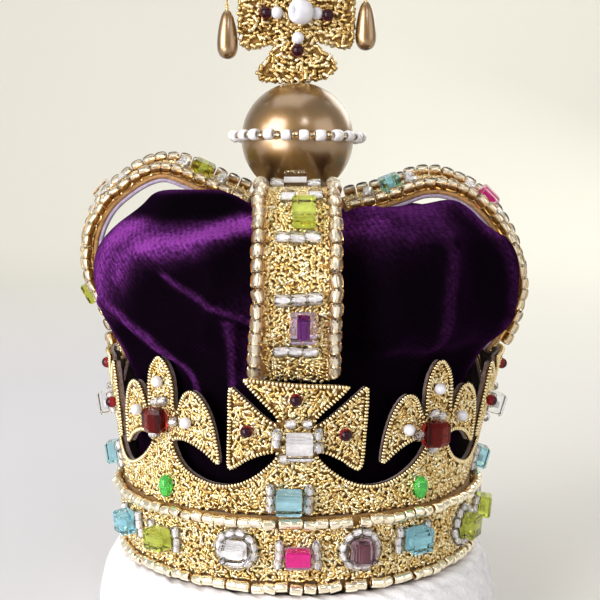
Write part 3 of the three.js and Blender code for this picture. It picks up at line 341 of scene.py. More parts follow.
def spline(points, n):
    """A centripetal curve through points, n steps to each span."""
    P = np.asarray(points, float)
    P = np.vstack([2 * P[0] - P[1], P, 2 * P[-1] - P[-2]])
    w = np.linspace(0, 1, n, endpoint=False)[:, None]
    out = []
    for i in range(1, len(P) - 2):
        p0, p1, p2, p3 = P[i - 1 : i + 3]
        d0, d1, d2 = (np.linalg.norm(b - a) ** 0.5 for a, b in ((p0, p1), (p1, p2), (p2, p3)))
        t1 = ((p1 - p0) / d0 - (p2 - p0) / (d0 + d1) + (p2 - p1) / d1) * d1
        t2 = ((p2 - p1) / d1 - (p3 - p1) / (d1 + d2) + (p3 - p2) / d2) * d1
        out.append(p1 + t1 * w + (-3 * p1 + 3 * p2 - 2 * t1 - t2) * w**2 + (2 * p1 - 2 * p2 + t1 + t2) * w**3)
    return np.vstack(out + [P[-2:-1]])


class ArchLine:
    def __init__(self, key):
        rows = ARCH_ROWS[key]
        if key == "front":
            rows = rows + [(-r, z) for r, z in rows[-2::-1]]
        q = spline(rows, 40)
        self.s = np.concatenate([[0], np.cumsum(np.linalg.norm(np.diff(q, axis=0), axis=1))])
        self.q, self.t = q, unit(np.gradient(q, axis=0))
        self.length = self.s[-1]
        self.roll = ARCH_ROLL[key]
        a = math.radians(ARCH_TURN[key])
        self.c, self.n = math.cos(a), math.sin(a)

    def turn(self, x, y, z):
        return np.stack([x * self.c - y * self.n, x * self.n + y * self.c, z + 0 * x], -1)

    def place(self, s, lateral=0.0, off=0.0):
        """Point on the strip's upper face and its across, on and out directions."""
        s = np.asarray(s, float)
        lateral, off = np.asarray(lateral, float) + 0 * s, np.asarray(off, float) + 0 * s
        r, z, tr, tz = (np.interp(s, self.s, a) for a in (self.q[:, 0], self.q[:, 1], self.t[:, 0], self.t[:, 1]))
        tr, tz = unit(np.stack([tr, tz], -1)).T if s.ndim else unit(np.array([tr, tz]))
        beyond = s - np.clip(s, 0, self.length)  # the feet run on straight behind the crosses
        r, z = r + tr * beyond, z + tz * beyond
        roll = self.roll * smoothstep((s - 1) / 9)
        d = off - (BEAD_D + GAP) + roll * lateral
        P = self.turn(r + tz * d, lateral - roll * off, z - tr * d)
        zero = 0 * s
        across, out = self.turn(zero, 1 + zero, zero), self.turn(tz, zero, -tr)
        k = np.asarray(roll)[..., None]
        return P, unit(across + k * out), self.turn(tr, zero, tz), unit(out - k * across)


ARCH = {k: ArchLine(k) for k in ARCH_ROWS}


def chaikin(P, rounds, closed):
    P = np.asarray(P, float)
    for _ in range(rounds):
        A, B = (P, np.roll(P, -1, 0)) if closed else (P[:-1], P[1:])
        Q = np.stack([0.75 * A + 0.25 * B, 0.25 * A + 0.75 * B], 1).reshape(-1, 2)
        P = Q if closed else np.vstack([P[:1], Q, P[-1:]])
    return P


def crest_outline():
    quarter = math.pi / 2 * RING_R
    line = []
    for k in range(4):
        cross, lily = k * quarter, (k + 0.5) * quarter
        shift, lift = LILIES[k]
        petals = [(w, z + (lift if z > 24 else 0), shift if z > 19 else 0) for w, z in LILY_HALF]
        line += [(cross + u, z) for u, z in (CROSS_FRONT_RIGHT if k == 0 else CROSS_HALF)]
        line += [(lily - w + d, z) for w, z, d in petals]
        line += [(lily + w + d, z) for w, z, d in petals[-2::-1]]
        line += [(cross + quarter - u, z) for u, z in (CROSS_FRONT_LEFT if k == 3 else CROSS_HALF)[:0:-1]]
    line.append((4 * quarter, CROSS_FRONT_RIGHT[0][1]))
    return chaikin(line, 2, False)


def resample(P, step, closed):
    P = np.asarray(P, float)
    Q = np.vstack([P, P[:1]]) if closed else P
    s = np.concatenate([[0], np.cumsum(np.linalg.norm(np.diff(Q, axis=0), axis=1))])
    n = max(2, int(round(s[-1] / step)))
    t = np.linspace(0, s[-1], n, endpoint=False) if closed else np.linspace(0, s[-1], n)
    return np.stack([np.interp(t, s, Q[:, k]) for k in range(Q.shape[1])], -1)


def inside(P, poly):
    A, B = poly, np.roll(poly, -1, 0)
    x, y = P[:, :1], P[:, 1:]
    hit = (A[:, 1] > y) != (B[:, 1] > y)
    xi = A[:, 0] + (y - A[:, 1]) * (B[:, 0] - A[:, 0]) / np.where(B[:, 1] == A[:, 1], 1e-9, B[:, 1] - A[:, 1])
    return ((hit & (x < xi)).sum(1) % 2) == 1


def edge_distance(P, line):
    A, D = line[:-1], np.diff(line, axis=0)
    dd = np.maximum((D * D).sum(1), 1e-12)
    out = np.empty(len(P))
    for i in range(0, len(P), 800):
        W = P[i : i + 800, None] - A
        t = np.clip((W * D).sum(-1) / dd, 0, 1)
        out[i : i + 800] = np.linalg.norm(W - t[..., None] * D, axis=-1).min(1)
    return out


def scatter(u0, u1, v0, v1, pitch, jitter=0.36):
    rows, cols = int((v1 - v0) / (pitch * 0.866)) + 1, int((u1 - u0) / pitch) + 1
    j, i = np.meshgrid(np.arange(rows), np.arange(cols), indexing="ij")
    P = np.stack([u0 + (i + 0.5 * (j % 2)) * pitch, v0 + j * pitch * 0.866], -1).reshape(-1, 2).astype(float)
    return P + RNG.uniform(-jitter, jitter, P.shape) * pitch


# ---------------------------------------------------------------- finishes
def material(name, **inputs):
    m = bpy.data.materials.new(name)
    m.use_nodes = True
    b = m.node_tree.nodes["Principled BSDF"]
    for k, v in inputs.items():
        b.inputs[k.replace("_", " ")].default_value = (*v, 1) if isinstance(v, tuple) and len(v) == 3 else v
    return m, m.node_tree.nodes, m.node_tree.links, b


def noise(nodes, links, scale, detail=2.0, rough=0.5, coord="Object", stretch=None):
    tc = nodes.new("ShaderNodeTexCoord")
    n = nodes.new("ShaderNodeTexNoise")
    n.inputs["Scale"].default_value = scale
    n.inputs["Detail"].default_value = detail
    n.inputs["Roughness"].default_value = rough
    if stretch:
        mp = nodes.new("ShaderNodeMapping")
        mp.inputs["Scale"].default_value = stretch
        links.new(tc.outputs[coord], mp.inputs["Vector"])
        links.new(mp.outputs["Vector"], n.inputs["Vector"])
    else:
        links.new(tc.outputs[coord], n.inputs["Vector"])
    return n.outputs["Fac"]


def ramp(nodes, links, fac, stops):
    r = nodes.new("ShaderNodeValToRGB")
    e = r.color_ramp.elements
    while len(e) < len(stops):
        e.new(0.5)
    for k, (pos, col) in enumerate(stops):
        e[k].position, e[k].color = pos, (*col, 1)
    links.new(fac, r.inputs["Fac"])
    return r.outputs["Color"]


def bump(nodes, links, height, bsdf, strength, distance, socket="Normal"):
    b = nodes.new("ShaderNodeBump")
    b.inputs["Strength"].default_value = strength
    b.inputs["Distance"].default_value = distance
    links.new(height, b.inputs["Height"])
    links.new(b.outputs["Normal"], bsdf.inputs[socket])
    return b


def attribute(nodes, name):
    a = nodes.new("ShaderNodeAttribute")
    a.attribute_name = name
    return a.outputs["Fac"]


def math_node(nodes, links, op, a, b):
    m = nodes.new("ShaderNodeMath")
    m.operation = op
    for k, x in enumerate((a, b)):
        if isinstance(x, (int, float)):
            m.inputs[k].default_value = x
        elif x is not None:
            links.new(x, m.inputs[k])
    return m.outputs[0]


def gold_chip_material(name, stops, rough, coil_pitch):
    m, n, l, b = material(name, Metallic=1.0, Roughness=rough)
    l.new(ramp(n, l, attribute(n, "tone"), stops), b.inputs["Base Color"])
    coil = math_node(n, l, "SINE", math_node(n, l, "MULTIPLY", attribute(n, "coil"), 2 * math.pi / coil_pitch), None)
    bump(n, l, coil, b, 0.45, 0.00005)
    wear = math_node(n, l, "MULTIPLY", noise(n, l, 900), 0.2)
    l.new(math_node(n, l, "ADD", wear, rough - 0.1), b.inputs["Roughness"])
    return m


def gold_wire_material():
    """Beaded wire, with painted shade in the waists between its beads, where the thread also shows: a per-vertex value
    of 1 there turns the gold dark brown.
    """
    m, n, l, b = material("gold_beaded_wire", Metallic=1.0, Roughness=0.24)
    bright = ramp(n, l, noise(n, l, 700, 3), [(0.3, (0.90, 0.70, 0.33)), (0.7, (1.0, 0.90, 0.60))])
    mix = n.new("ShaderNodeMix")
    mix.data_type = "RGBA"
    l.new(attribute(n, "groove"), mix.inputs["Factor"])
    l.new(bright, mix.inputs[6])
    mix.inputs[7].default_value = (0.26, 0.12, 0.03, 1)
    l.new(mix.outputs[2], b.inputs["Base Color"])
    bump(n, l, noise(n, l, 2500, 2), b, 0.12, 0.00008)
    return m


def felt_material(name, dark, light, metal=0.0, rough=0.95):
    m, n, l, b = material(name, Roughness=rough, Metallic=metal, Sheen_Weight=0.35, Sheen_Roughness=0.5)
    b.inputs["Specular IOR Level"].default_value = 0.12
    f = noise(n, l, 1800, 4, 0.65)
    l.new(ramp(n, l, f, [(0.32, dark), (0.68, light)]), b.inputs["Base Color"])
    bump(n, l, f, b, 0.55, 0.00025)
    return m


def glass_material(name, colour, rough=0.02, streak=None, clear=1.0, ior=1.4):
    """Coloured glass; streak adds the faint drawn lines of moulded cubes."""
    m, n, l, b = material(name, Base_Color=colour, Roughness=rough, Transmission_Weight=clear, IOR=ior)
    f = noise(n, l, 260, 2, 0.5, stretch=streak or (1.0, 1.0, 1.0))
    l.new(ramp(n, l, f, [(0.25, tuple(c * 0.86 for c in colour)), (0.75, tuple(min(1.0, c * 1.08) for c in colour))]), b.inputs["Base Color"])
    bump(n, l, noise(n, l, 420, 2, 0.5, stretch=streak or (1.0, 1.0, 1.0)), b, 0.18, 0.0003)
    return m


def lining_material(name, colour, rough, metal=1.0):
    m, n, l, b = material(name, Base_Color=colour, Metallic=metal, Roughness=rough)
    f = noise(n, l, 1400, 2, 0.6)
    l.new(ramp(n, l, f, [(0.3, tuple(c * 0.8 for c in colour)), (0.7, colour)]), b.inputs["Base Color"])
    bump(n, l, f, b, 0.25, 0.0002)
    return m


def velvet_material():
    """Short pile with painted light and shade: a per-vertex value paints sheen bright along ridges and on cloth that
    faces upwards, and paints shade almost black elsewhere.
    """
    m, n, l, b = material("purple_velvet", Roughness=1.0, Sheen_Weight=0.05, Sheen_Roughness=0.3)
    b.inputs["Sheen Tint"].default_value = (0.76, 0.13, 1.0, 1)
    b.inputs["Specular IOR Level"].default_value = 0.0
    # the pile stands in fine slanting rows
    tc = n.new("ShaderNodeTexCoord")
    mp = n.new("ShaderNodeMapping")
    mp.inputs["Rotation"].default_value = (0.25, 0.72, 0.35)
    w = n.new("ShaderNodeTexWave")
    w.inputs["Scale"].default_value = 430
    w.inputs["Distortion"].default_value = 3.2
    w.inputs["Detail"].default_value = 2.0
    w.inputs["Detail Scale"].default_value = 1.6
    l.new(tc.outputs["Object"], mp.inputs["Vector"])
    l.new(mp.outputs["Vector"], w.inputs["Vector"])
    pile = noise(n, l, 3200, 3, 0.7)
    rows = math_node(n, l, "MULTIPLY", w.outputs["Fac"], 0.25)
    bump(n, l, math_node(n, l, "ADD", pile, rows), b, 0.6, 0.0003)
    # and is rubbed in patches and tufts
    patches = math_node(n, l, "MULTIPLY", noise(n, l, 170, 3, 0.6), 0.24)
    tufts = math_node(n, l, "MULTIPLY", noise(n, l, 1250, 4, 0.85), 2.5)
    ribs = math_node(n, l, "MULTIPLY", w.outputs["Fac"], 0.20)
    stands = math_node(n, l, "ADD", math_node(n, l, "ADD", patches, tufts), ribs)
    uneven = math_node(n, l, "ADD", stands, -0.46)  # about 1 on the whole
    # painted light and shade: the per-vertex value, broken by the grain, picks the colour from almost black to bright
    # purple
    shade = math_node(n, l, "MULTIPLY", attribute(n, "brush"), uneven)
    l.new(ramp(n, l, shade, [
        (0.0, (0.0016, 0.0009, 0.0018)), (0.15, (0.0040, 0.0014, 0.0048)), (0.35, (0.018, 0.0040, 0.022)),
        (0.6, (0.062, 0.0110, 0.084)), (1.0, (0.20, 0.036, 0.26)),
    ]), b.inputs["Base Color"])
    return m


def plush_material():
    m, n, l, b = material("white_plush", Roughness=0.95, Sheen_Weight=0.4, Sheen_Roughness=0.4)
    b.inputs["Specular IOR Level"].default_value = 0.1
    l.new(ramp(n, l, noise(n, l, 260, 4, 0.6), [(0.3, (0.80, 0.78, 0.83)), (0.65, (0.92, 0.91, 0.94))]), b.inputs["Base Color"])
    bump(n, l, noise(n, l, 1500, 3, 0.7), b, 0.5, 0.0004)
    return m


def pearl_material(name, low, high, metal, rough, coat=1.0, **more):
    m, n, l, b = material(name, Metallic=metal, Roughness=rough, Coat_Weight=coat, Coat_Roughness=0.06 if metal < 1 else 0.22, **more)
    l.new(ramp(n, l, noise(n, l, 240, 3, 0.6), [(0.25, low), (0.75, high)]), b.inputs["Base Color"])
    bump(n, l, noise(n, l, 500, 2), b, 0.05, 0.0002)
    return m


def under_shaded(made, top, below, reach=(0.1, 0.9)):
    """Painted shade: deepens a bead's colour from its outer side to where it lies against the felt."""
    n, l = made.node_tree.nodes, made.node_tree.links
    l.new(ramp(n, l, attribute(n, "under"), [(reach[0], top), (reach[1], below)]), n["Principled BSDF"].inputs["Base Color"])
    return made


def garnet_bead_material():
    m, n, l, b = material("garnet_beads", Roughness=0.10, IOR=1.25, Coat_Weight=0.16, Coat_Roughness=0.04)
    # painted light: a red glow of light through the glass towards the felt side, over a near-black outer face
    l.new(ramp(n, l, attribute(n, "under"), [(0.15, (0.020, 0.001, 0.006)), (0.8, (0.25, 0.010, 0.014))]), b.inputs["Base Color"])
    bump(n, l, noise(n, l, 500, 2), b, 0.05, 0.0002)
    return m


GOLD = gold_chip_material("gold_purl_chips", [
    (0.0, (0.42, 0.24, 0.06)), (0.28, (0.78, 0.56, 0.225)), (0.65, (0.95, 0.80, 0.46)), (1.0, (1.0, 0.95, 0.76)),
], 0.25, 0.17)
WIRE = gold_wire_material()
# golden felt, its colour darkened as painted shade in the gaps between the gold chips that lie on it
FELT_GOLD_SHADED = felt_material("golden_felt_painted_shade", (0.19, 0.095, 0.024), (0.42, 0.235, 0.070), 0.3, 0.6)
FELT_BROWN = felt_material("russet_felt", (0.30, 0.145, 0.050), (0.62, 0.36, 0.15), 0.2, 0.7)
FELT_LILAC = felt_material("lilac_felt", (0.30, 0.23, 0.34), (0.52, 0.43, 0.56))
FELT_EDGE = felt_material("mauve_felt", (0.10, 0.062, 0.062), (0.33, 0.23, 0.22))
# painted shade: the amber glass deepens towards the felt side of each bead, and the champagne beads go dark brown there
AMBER_GLASS = under_shaded(glass_material("amber_bead_glass", (1.0, 0.93, 0.80), 0.03, ior=1.4), (1.0, 0.95, 0.82), (0.81, 0.45, 0.115))
CHAMPAGNE = under_shaded(pearl_material("champagne_beads", (0.86, 0.73, 0.50), (1.0, 0.91, 0.72), 0.9, 0.2, 0.5), (1.0, 0.90, 0.68), (0.60, 0.34, 0.10), (0.35, 1.0))
CLEAR_GLASS = glass_material("crystal_bead_glass", (1.0, 0.98, 1.0), 0.03, ior=1.42)
GOLD_LINING = lining_material("gold_lining", (1.0, 0.97, 0.91), 0.16, 0.65)
SILVER = lining_material("silver_lining", (1.0, 0.98, 1.0), 0.25, 0.2)
VELVET = velvet_material()
PLUSH = plush_material()
BRONZE = pearl_material("bronze_pearl", (0.225, 0.113, 0.022), (0.305, 0.162, 0.036), 1.0, 0.38, 1.0, Coat_IOR=2.05)
WHITE_PEARL = pearl_material("white_pearl", (0.60, 0.59, 0.66), (0.76, 0.75, 0.80), 0.0, 0.2)
WHITE_GLASS = pearl_material("white_glass_beads", (0.70, 0.68, 0.71), (0.84, 0.82, 0.84), 0.0, 0.15)
GARNET_BEAD = garnet_bead_material()
GREEN_BEAD = glass_material("emerald_glass", (0.14, 0.80, 0.16), 0.04, clear=0.7)
GLASS = {
    "pink": glass_material("pink_glass", (1.0, 0.74, 0.90)),
    "amethyst": glass_material("amethyst_glass", (0.76, 0.62, 0.82)),
    "plum": glass_material("plum_glass", (0.62, 0.42, 0.48)),
    "aqua": glass_material("aqua_glass", (0.36, 0.80, 0.95), 0.02, (1.0, 1.0, 0.25)),
    "peridot": glass_material("peridot_glass", (0.62, 0.71, 0.10), 0.02, (1.0, 1.0, 0.25)),
    "clear": glass_material("crystal_glass", (0.99, 0.98, 1.0), 0.02, (0.2, 0.2, 1.6), ior=1.3),
    "teal": glass_material("teal_glass", (0.42, 0.76, 0.86), 0.02, (0.25, 0.25, 1.2)),
    "garnet": glass_material("garnet_glass", (0.34, 0.026, 0.020), 0.14, ior=1.25),
}
CORE = {
    "pink": lining_material("pink_lining", (0.95, 0.008, 0.34), 0.25, 0.2),
    "amethyst": lining_material("purple_lining", (0.22, 0.012, 0.27), 0.22, 0.75),
    "plum": lining_material("plum_lining", (0.28, 0.13, 0.17), 0.25, 0.6),
    "garnet": lining_material("garnet_lining", (0.30, 0.035, 0.018), 0.35, 0.1),
}
GEM_SLOT = {"plum": "amethyst"}
BULLION = gold_chip_material("gold_bullion", [
    (0.0, (0.24, 0.13, 0.035)), (0.3, (0.50, 0.33, 0.115)), (0.65, (0.72, 0.55, 0.27)), (1.0, (0.96, 0.85, 0.60)),
], 0.3, 0.30)


# ---------------------------------------------------------------- felt
def wall_under(line, foot, point_at):
    """Both faces and the edges of a wall under an outline that may overhang, cut into upright slabs."""
    line = np.round(line, 4)
    cuts = np.unique(line[:, 0])
    A, B = line[:-1], line[1:]
    lo, hi = np.minimum(A[:, 0], B[:, 0]), np.maximum(A[:, 0], B[:, 0])
    cells, on_cut = [], {u: set() for u in cuts}
    for u, z in line:
        on_cut[u].add(z)
    for u0, u1 in zip(cuts[:-1], cuts[1:]):
        mid = (u0 + u1) / 2
        e = np.nonzero((lo < mid) & (hi > mid))[0]
        slope = (B[e, 1] - A[e, 1]) / (B[e, 0] - A[e, 0])
        z0, z1, zm = (np.round(A[e, 1] + slope * (u - A[e, 0]), 4) for u in (u0, u1, mid))
        o = np.argsort(A[e, 1] + slope * (mid - A[e, 0]))
        heights = [(foot, foot)] + [(z0[k], z1[k]) for k in o]
        for j in range(0, len(heights) - 1, 2):
            (a0, a1), (b0, b1) = heights[j], heights[j + 1]
            cells.append((u0, u1, a0, a1, b0, b1))
            on_cut[u0] |= {a0, b0}
            on_cut[u1] |= {a1, b1}
    on_cut[cuts[0]] |= on_cut[cuts[-1]]
    on_cut[cuts[-1]] |= on_cut[cuts[0]]
    ids, pts = {}, []

    def vertex(u, z):
        k = (0.0 if u == cuts[-1] else u, z)
        if k not in ids:
            ids[k] = len(pts)
            pts.append(k)
        return ids[k]

    polys, rim = [], {}
    for u0, u1, a0, a1, b0, b1 in cells:
        loop = [(u0, a0), (u1, a1)] + [(u1, z) for z in sorted(on_cut[u1]) if a1 < z < b1]
        loop += [(u1, b1), (u0, b0)] + [(u0, z) for z in sorted(on_cut[u0], reverse=True) if a0 < z < b0]
        ring = [vertex(*p) for p in loop]
        ring = [v for i, v in enumerate(ring) if v != ring[(i + 1) % len(ring)]]
        polys.append(ring)
        for i, v in enumerate(ring):
            w = ring[(i + 1) % len(ring)]
            if (w, v) in rim:
                del rim[(w, v)]
            else:
                rim[(v, w)] = True
    pts = np.array(pts)
    n = len(pts)
    V = np.vstack([point_at(pts[:, 0], pts[:, 1], 1), point_at(pts[:, 0], pts[:, 1], 0)])
    tri = np.array([(p[0], p[i], p[i + 1]) for p in polys for i in range(1, len(p) - 1)])
    edge = np.array([(v, v + n, w + n, w) for v, w in rim])
    return V, tri, tri[:, ::-1] + n, edge


OUTLINE = crest_outline()
inwards = np.gradient(OUTLINE, axis=0)
inwards = unit(np.stack([inwards[:, 1], -inwards[:, 0]], -1))  # into the felt, which lies below a line drawn rightwards
inwards[[0, -1]] = (0, -1)
felt_line = OUTLINE + 0.2 * inwards
felt = Heap()
V, outer, inner, edge = wall_under(
    felt_line,
    CREST_FOOT_Z,
    lambda u, z, side: on_ring(
        np.degrees(u / RING_R), wall_radius(np.degrees(u / RING_R), z) - (CHIP_BED if side else 1.15), z
    ),
)
felt.add(V, [outer, inner, edge])
felt.m = [np.full(len(outer), 0), np.full(len(inner), 1), np.full(len(edge), 1)]
felt.make("cresting_felt", [FELT_GOLD_SHADED, FELT_EDGE], "gold_chips", "cresting", smooth=False)


def ring_solid(section, n):
    """A ring about the axis from a closed (r, z) section."""
    p = np.array(section, float)
    az = np.arange(n) / n * 360
    V = np.concatenate([on_ring(az, r, z) for r, z in p])
    return V, [grid_faces(len(p), n, wrap_rows=True, wrap_cols=True)[:, ::-1]]


felt = Heap()
felt.add(*ring_solid([
    (29.0, -0.6), (30.6, -0.6), (30.6, 1.0), (31.5 - CHIP_BED, 1.2), (32.2 - CHIP_BED, 9.3), (31.4, 9.5), (31.4, 11.2), (29.4, 11.2),
], 180))
felt.make("band_felt", FELT_GOLD_SHADED, "gold_chips", "circlet_band")

for key, line in ARCH.items():
    felt = Heap()
    half = STRIP_W / 2
    layers = [
        ([(-half, -0.70), (-half, -0.14), (-half + 0.14, 0.0), (half - 0.14, 0.0), (half, -0.14), (half, -0.70)], 0),
        ([(-half + 0.1, -1.38), (-half - 0.02, -1.2), (-half - 0.02, -0.78), (half + 0.02, -0.78), (half + 0.02, -1.2),
          (half - 0.1, -1.38), (half - 0.6, -1.5), (-half + 0.6, -1.5)], 1),
    ]
    s = np.linspace(-FOOT, line.length + (FOOT if key == "front" else 0), 150 if key == "front" else 80)
    ease = 0.06 * np.sin(s * 1.3) + 0.05 * np.sin(s * 2.9 + 1)  # hand-cut edges are never quite straight
    for section, mat in layers:
        q = np.array(section)
        V = np.concatenate([line.place(s, u + np.sign(u) * ease, d)[0] for u, d in q])
        F = grid_faces(len(q), len(s), wrap_rows=True)
        ends = np.arange(len(q)) * len(s)
        felt.add(V, [F, ends[None], (ends + len(s) - 1)[None, ::-1]], mat)
    node = "arch_front_back" if key == "front" else "arch_" + key
    ob = felt.make(node + "_felt", [FELT_BROWN, FELT_LILAC], "gold_chips", node)

CROSS_LOOP = chaikin(
    TOP_CROSS_LOWER + [(x, -z) for x, z in TOP_CROSS_LOWER[-2:0:-1]], 2, True
)


# ---------------------------------------------------------------- gold chips
CHIP = lathe_x([(-0.5, 0.5), (0.5, 0.5)], 5)


COILED = lathe_x([(-0.5, 0.36), (-0.27, 0.5), (0.0, 0.39), (0.27, 0.5), (0.5, 0.36)], 6)


def lay_chips(heap, P, across, up, out, lift=0.0, long=(0.55, 1.05), wide=(0.44, 0.60), heave=0.26, template=CHIP, level=0.0):
    """Cut lengths of coiled gold wire, sewn down at every angle."""
    m = len(P)
    a, tilt = RNG.uniform(0, np.pi, m), np.radians(RNG.normal(0, 15, m))
    a = np.where(RNG.uniform(0, 1, m) < level, RNG.normal(0, 0.35, m), a)
    flat = np.cos(a)[:, None] * across + np.sin(a)[:, None] * up
    axis = np.cos(tilt)[:, None] * flat + np.sin(tilt)[:, None] * out
    long, wide = RNG.uniform(*long, m), RNG.uniform(*wide, m)
    at = P + out * (lift - 0.36 + RNG.uniform(-0.04, heave, m))[:, None]
    V, F = stamp(template, at, basis(axis, out), np.stack([long, wide, wide], -1))
    coil = template[0][:, 0]
    n = len(coil)
    heap.add(V, F, tone=np.repeat(RNG.beta(2.0, 1.7, m), n), coil=(coil[None] * long[:, None]).ravel())


CHIP_PITCH = 0.60
crest_poly = np.vstack([OUTLINE, [[OUTLINE[-1, 0], CREST_FOOT_Z], [0, CREST_FOOT_Z]]])
P = scatter(0, OUTLINE[-1, 0], CREST_FOOT_Z, 36.6, CHIP_PITCH)
P = P[inside(P, crest_poly)]
P = P[edge_distance(P, OUTLINE) > 0.86]
az = np.degrees(P[:, 0] / RING_R)
for name, keep in (("front", np.abs((az + 180) % 360 - 180) <= 90), ("back", np.abs((az + 180) % 360 - 180) > 90)):
    h = Heap()
    lay_chips(h, *crest_place(az[keep], P[keep, 1]))
    h.make("cresting_chips_" + name, GOLD, "gold_chips")

h = Heap()
P = scatter(0, 2 * math.pi * 32, 1.05, 9.6, CHIP_PITCH)
lay_chips(h, *band_place(np.degrees(P[:, 0] / 32), P[:, 1]))
h.make("band_chips", GOLD, "gold_chips")

for key, line in ARCH.items():
    h = Heap()
    P = scatter(0.2 - FOOT, line.length + (FOOT - 0.2 if key == "front" else -0.4), -4.7, 4.7, CHIP_PITCH)
    lay_chips(h, *line.place(P[:, 0], P[:, 1]), lift=0.62)
    h.make(("arch_front_back" if key == "front" else "arch_" + key) + "_chips", GOLD, "gold_chips")

# ---------------------------------------------------------------- beaded wire round every edge
PURL = lathe_x([(-0.5, 0.13), (-0.40, 0.32), (-0.20, 0.46), (0.0, 0.5), (0.20, 0.46), (0.40, 0.32), (0.5, 0.13)], 6, caps=False)
# painted shade for the wire's waists: 1 between the beads, 0 on their crowns
PURL_WAIST_SHADE = np.repeat([1.0, 0.75, 0.1, 0.0, 0.1, 0.75, 1.0], 6)


def purl_run(heap, P, out, width=0.86, pitch=0.56):
    t = np.gradient(P, axis=0)
    size = RNG.uniform(0.94, 1.06, len(P))
    V, F = stamp(PURL, P, basis(t, out), np.stack([np.full(len(P), pitch * 1.02), width * size, width * size], -1))
    heap.add(V, F, groove=np.tile(PURL_WAIST_SHADE, len(P)))


h = Heap()
L = resample(OUTLINE, 0.56, False)
n2 = np.gradient(L, axis=0)
n2 = unit(np.stack([n2[:, 1], -n2[:, 0]], -1))  # into the felt, which lies below a line drawn rightwards
L = L + 0.36 * n2
pt, _, _, out = crest_place(np.degrees(L[:, 0] / RING_R), L[:, 1], np.full(len(L), -0.12))
purl_run(h, pt, out)
h.make("cresting_wire", WIRE, "gold_chips")

# ---------------------------------------------------------------- seed beads
BEAD = seed_bead(0.34, 2.0, 11, 16)
SHORT_BEAD = seed_bead(0.42, 5.0, 9, 14)
SMALL_BEAD = seed_bead(0.40, 2.4, 8, 12)
LINING = lathe_x([(-0.5, 0.5), (0.5, 0.5)], 4, caps=False)


def string_beads(heap, P, along, out, length, width, mats=(0, 1), template=SMALL_BEAD, loose=1.0, core=0.40):
    """Drilled glass beads; a second finish lines the square hole of each."""
    m = len(P)
    along = unit(along + RNG.normal(0, 0.05 * loose, (m, 3)))
    size = RNG.uniform(0.95, 1.05, (m, 1))
    P = P + RNG.normal(0, 0.05 * loose, (m, 3))
    R, S = basis(along, out), np.array([[length, width, width]]) * size
    V, F = stamp(template, P, R, S)
    k = len(V) // m
    outward = np.repeat(unit(np.broadcast_to(out, P.shape)), k, 0)
    high = np.sum((V - np.repeat(P, k, 0)) * outward, 1) / (0.5 * width)
    heap.add(V, F, mats[0], under=smoothstep((0.8 - high) / 1.1))
    if len(mats) > 1:
        heap.add(*stamp(LINING, P, R, S * (0.9, core, core)), mats[1])


for name, r, z, count in (("lower", 31.85, 0.0, 95), ("upper", 32.75, 10.6, 98)):
    h = Heap()
    az = (np.arange(count) + RNG.uniform(-0.14, 0.14, count)) / count * 360
    string_beads(h, on_ring(az, r, z), on_ring(az + 90, 1, 0), on_ring(az, 1, 0), 1.98, 1.64, (0,), SHORT_BEAD, loose=2.0)
    h.make("band_beads_" + name + "_strung", CHAMPAGNE, "gold_beads", "band_beads_" + name)

for key, line in ARCH.items():
    start = 0.2 if key == "front" else BEAD_START
    to = line.length - (start if key == "front" else 0.8)
    count = int((to - start) / (2.36 if key == "front" else 2.30))
    names = {"front": ("front_back_right", "front_back_left"), "left": ("left_front", "left_back"), "right": ("right_back", "right_front")}[key]
    for side, name in zip((1, -1), names):
        h = Heap()
        s = start + (np.arange(count) + 0.5) * (to - start) / count
        lateral = np.full(count, side * BEAD_LATERAL)
        if name == "front_back_left":
            lateral -= 0.8 * smoothstep((14 - s) / 11)  # the row spreads a little towards the cross
        pt, across, on, out = line.place(s, lateral, BEAD_D / 2 + 0.04)
        string_beads(h, pt, on, out, 2.14, 2.30, template=BEAD, core=0.52, loose=1.6)
        h.make("beads_" + name + "_strung", [AMBER_GLASS, GOLD_LINING], "gold_beads", "beads_" + name)

# ---------------------------------------------------------------- glass cubes and what is set round them
LOOSE = Heap()  # crystal, pearl, garnet and green beads sewn on singly
LOOSE_MATS = [CLEAR_GLASS, SILVER, WHITE_PEARL, GARNET_BEAD, GREEN_BEAD]
BALL = ball(8, 14)


def crystal(P, along, out, length=1.50, width=1.82):
    string_beads(LOOSE, np.atleast_2d(P), np.atleast_2d(along), np.atleast_2d(out), length, width, (0, 1), core=0.56, loose=1.6)


def round_bead(P, out, size, mat):
    P = np.atleast_2d(P)
    V, F = stamp(BALL, P, basis(np.atleast_2d(out), np.array([[0.3, 0.2, 1.0]])), np.full((len(P), 3), size))
    high = np.sum((V - np.repeat(P, len(V) // len(P), 0)) * unit(np.atleast_2d(out)), 1) / (0.5 * size)
    LOOSE.add(V, F, mat, under=smoothstep((0.8 - high) / 1.1))


def cube(w, h, d, b):
    """A glass cube with bevelled edges, its back on z = 0."""
    bm = bmesh.new()
    for x in (-1, 1):
        for y in (-1, 1):
            for z in (-1, 1):
                for k in range(3):
                    cut = [b, b, b]
                    cut[k] = 0
                    bm.verts.new((x * (w / 2 - cut[0]), y * (h / 2 - cut[1]), d / 2 + z * (d / 2 - cut[2])))
    bmesh.ops.convex_hull(bm, input=bm.verts)
    bmesh.ops.dissolve_limit(bm, angle_limit=0.02, verts=bm.verts, edges=bm.edges)
    bmesh.ops.recalc_face_normals(bm, faces=bm.faces)
    bm.verts.index_update()
    V = np.array([v.co for v in bm.verts])
    F = [np.array([[v.index for v in f.verts]]) for f in bm.faces]
    bm.free()
    return V, F


def one(V, F, P, across, up, out):
    return np.asarray(V) @ np.stack([across, up, out]) + P, F


gem_heaps = {k: Heap() for k in GLASS}
gem_nodes = {k: [] for k in GLASS}
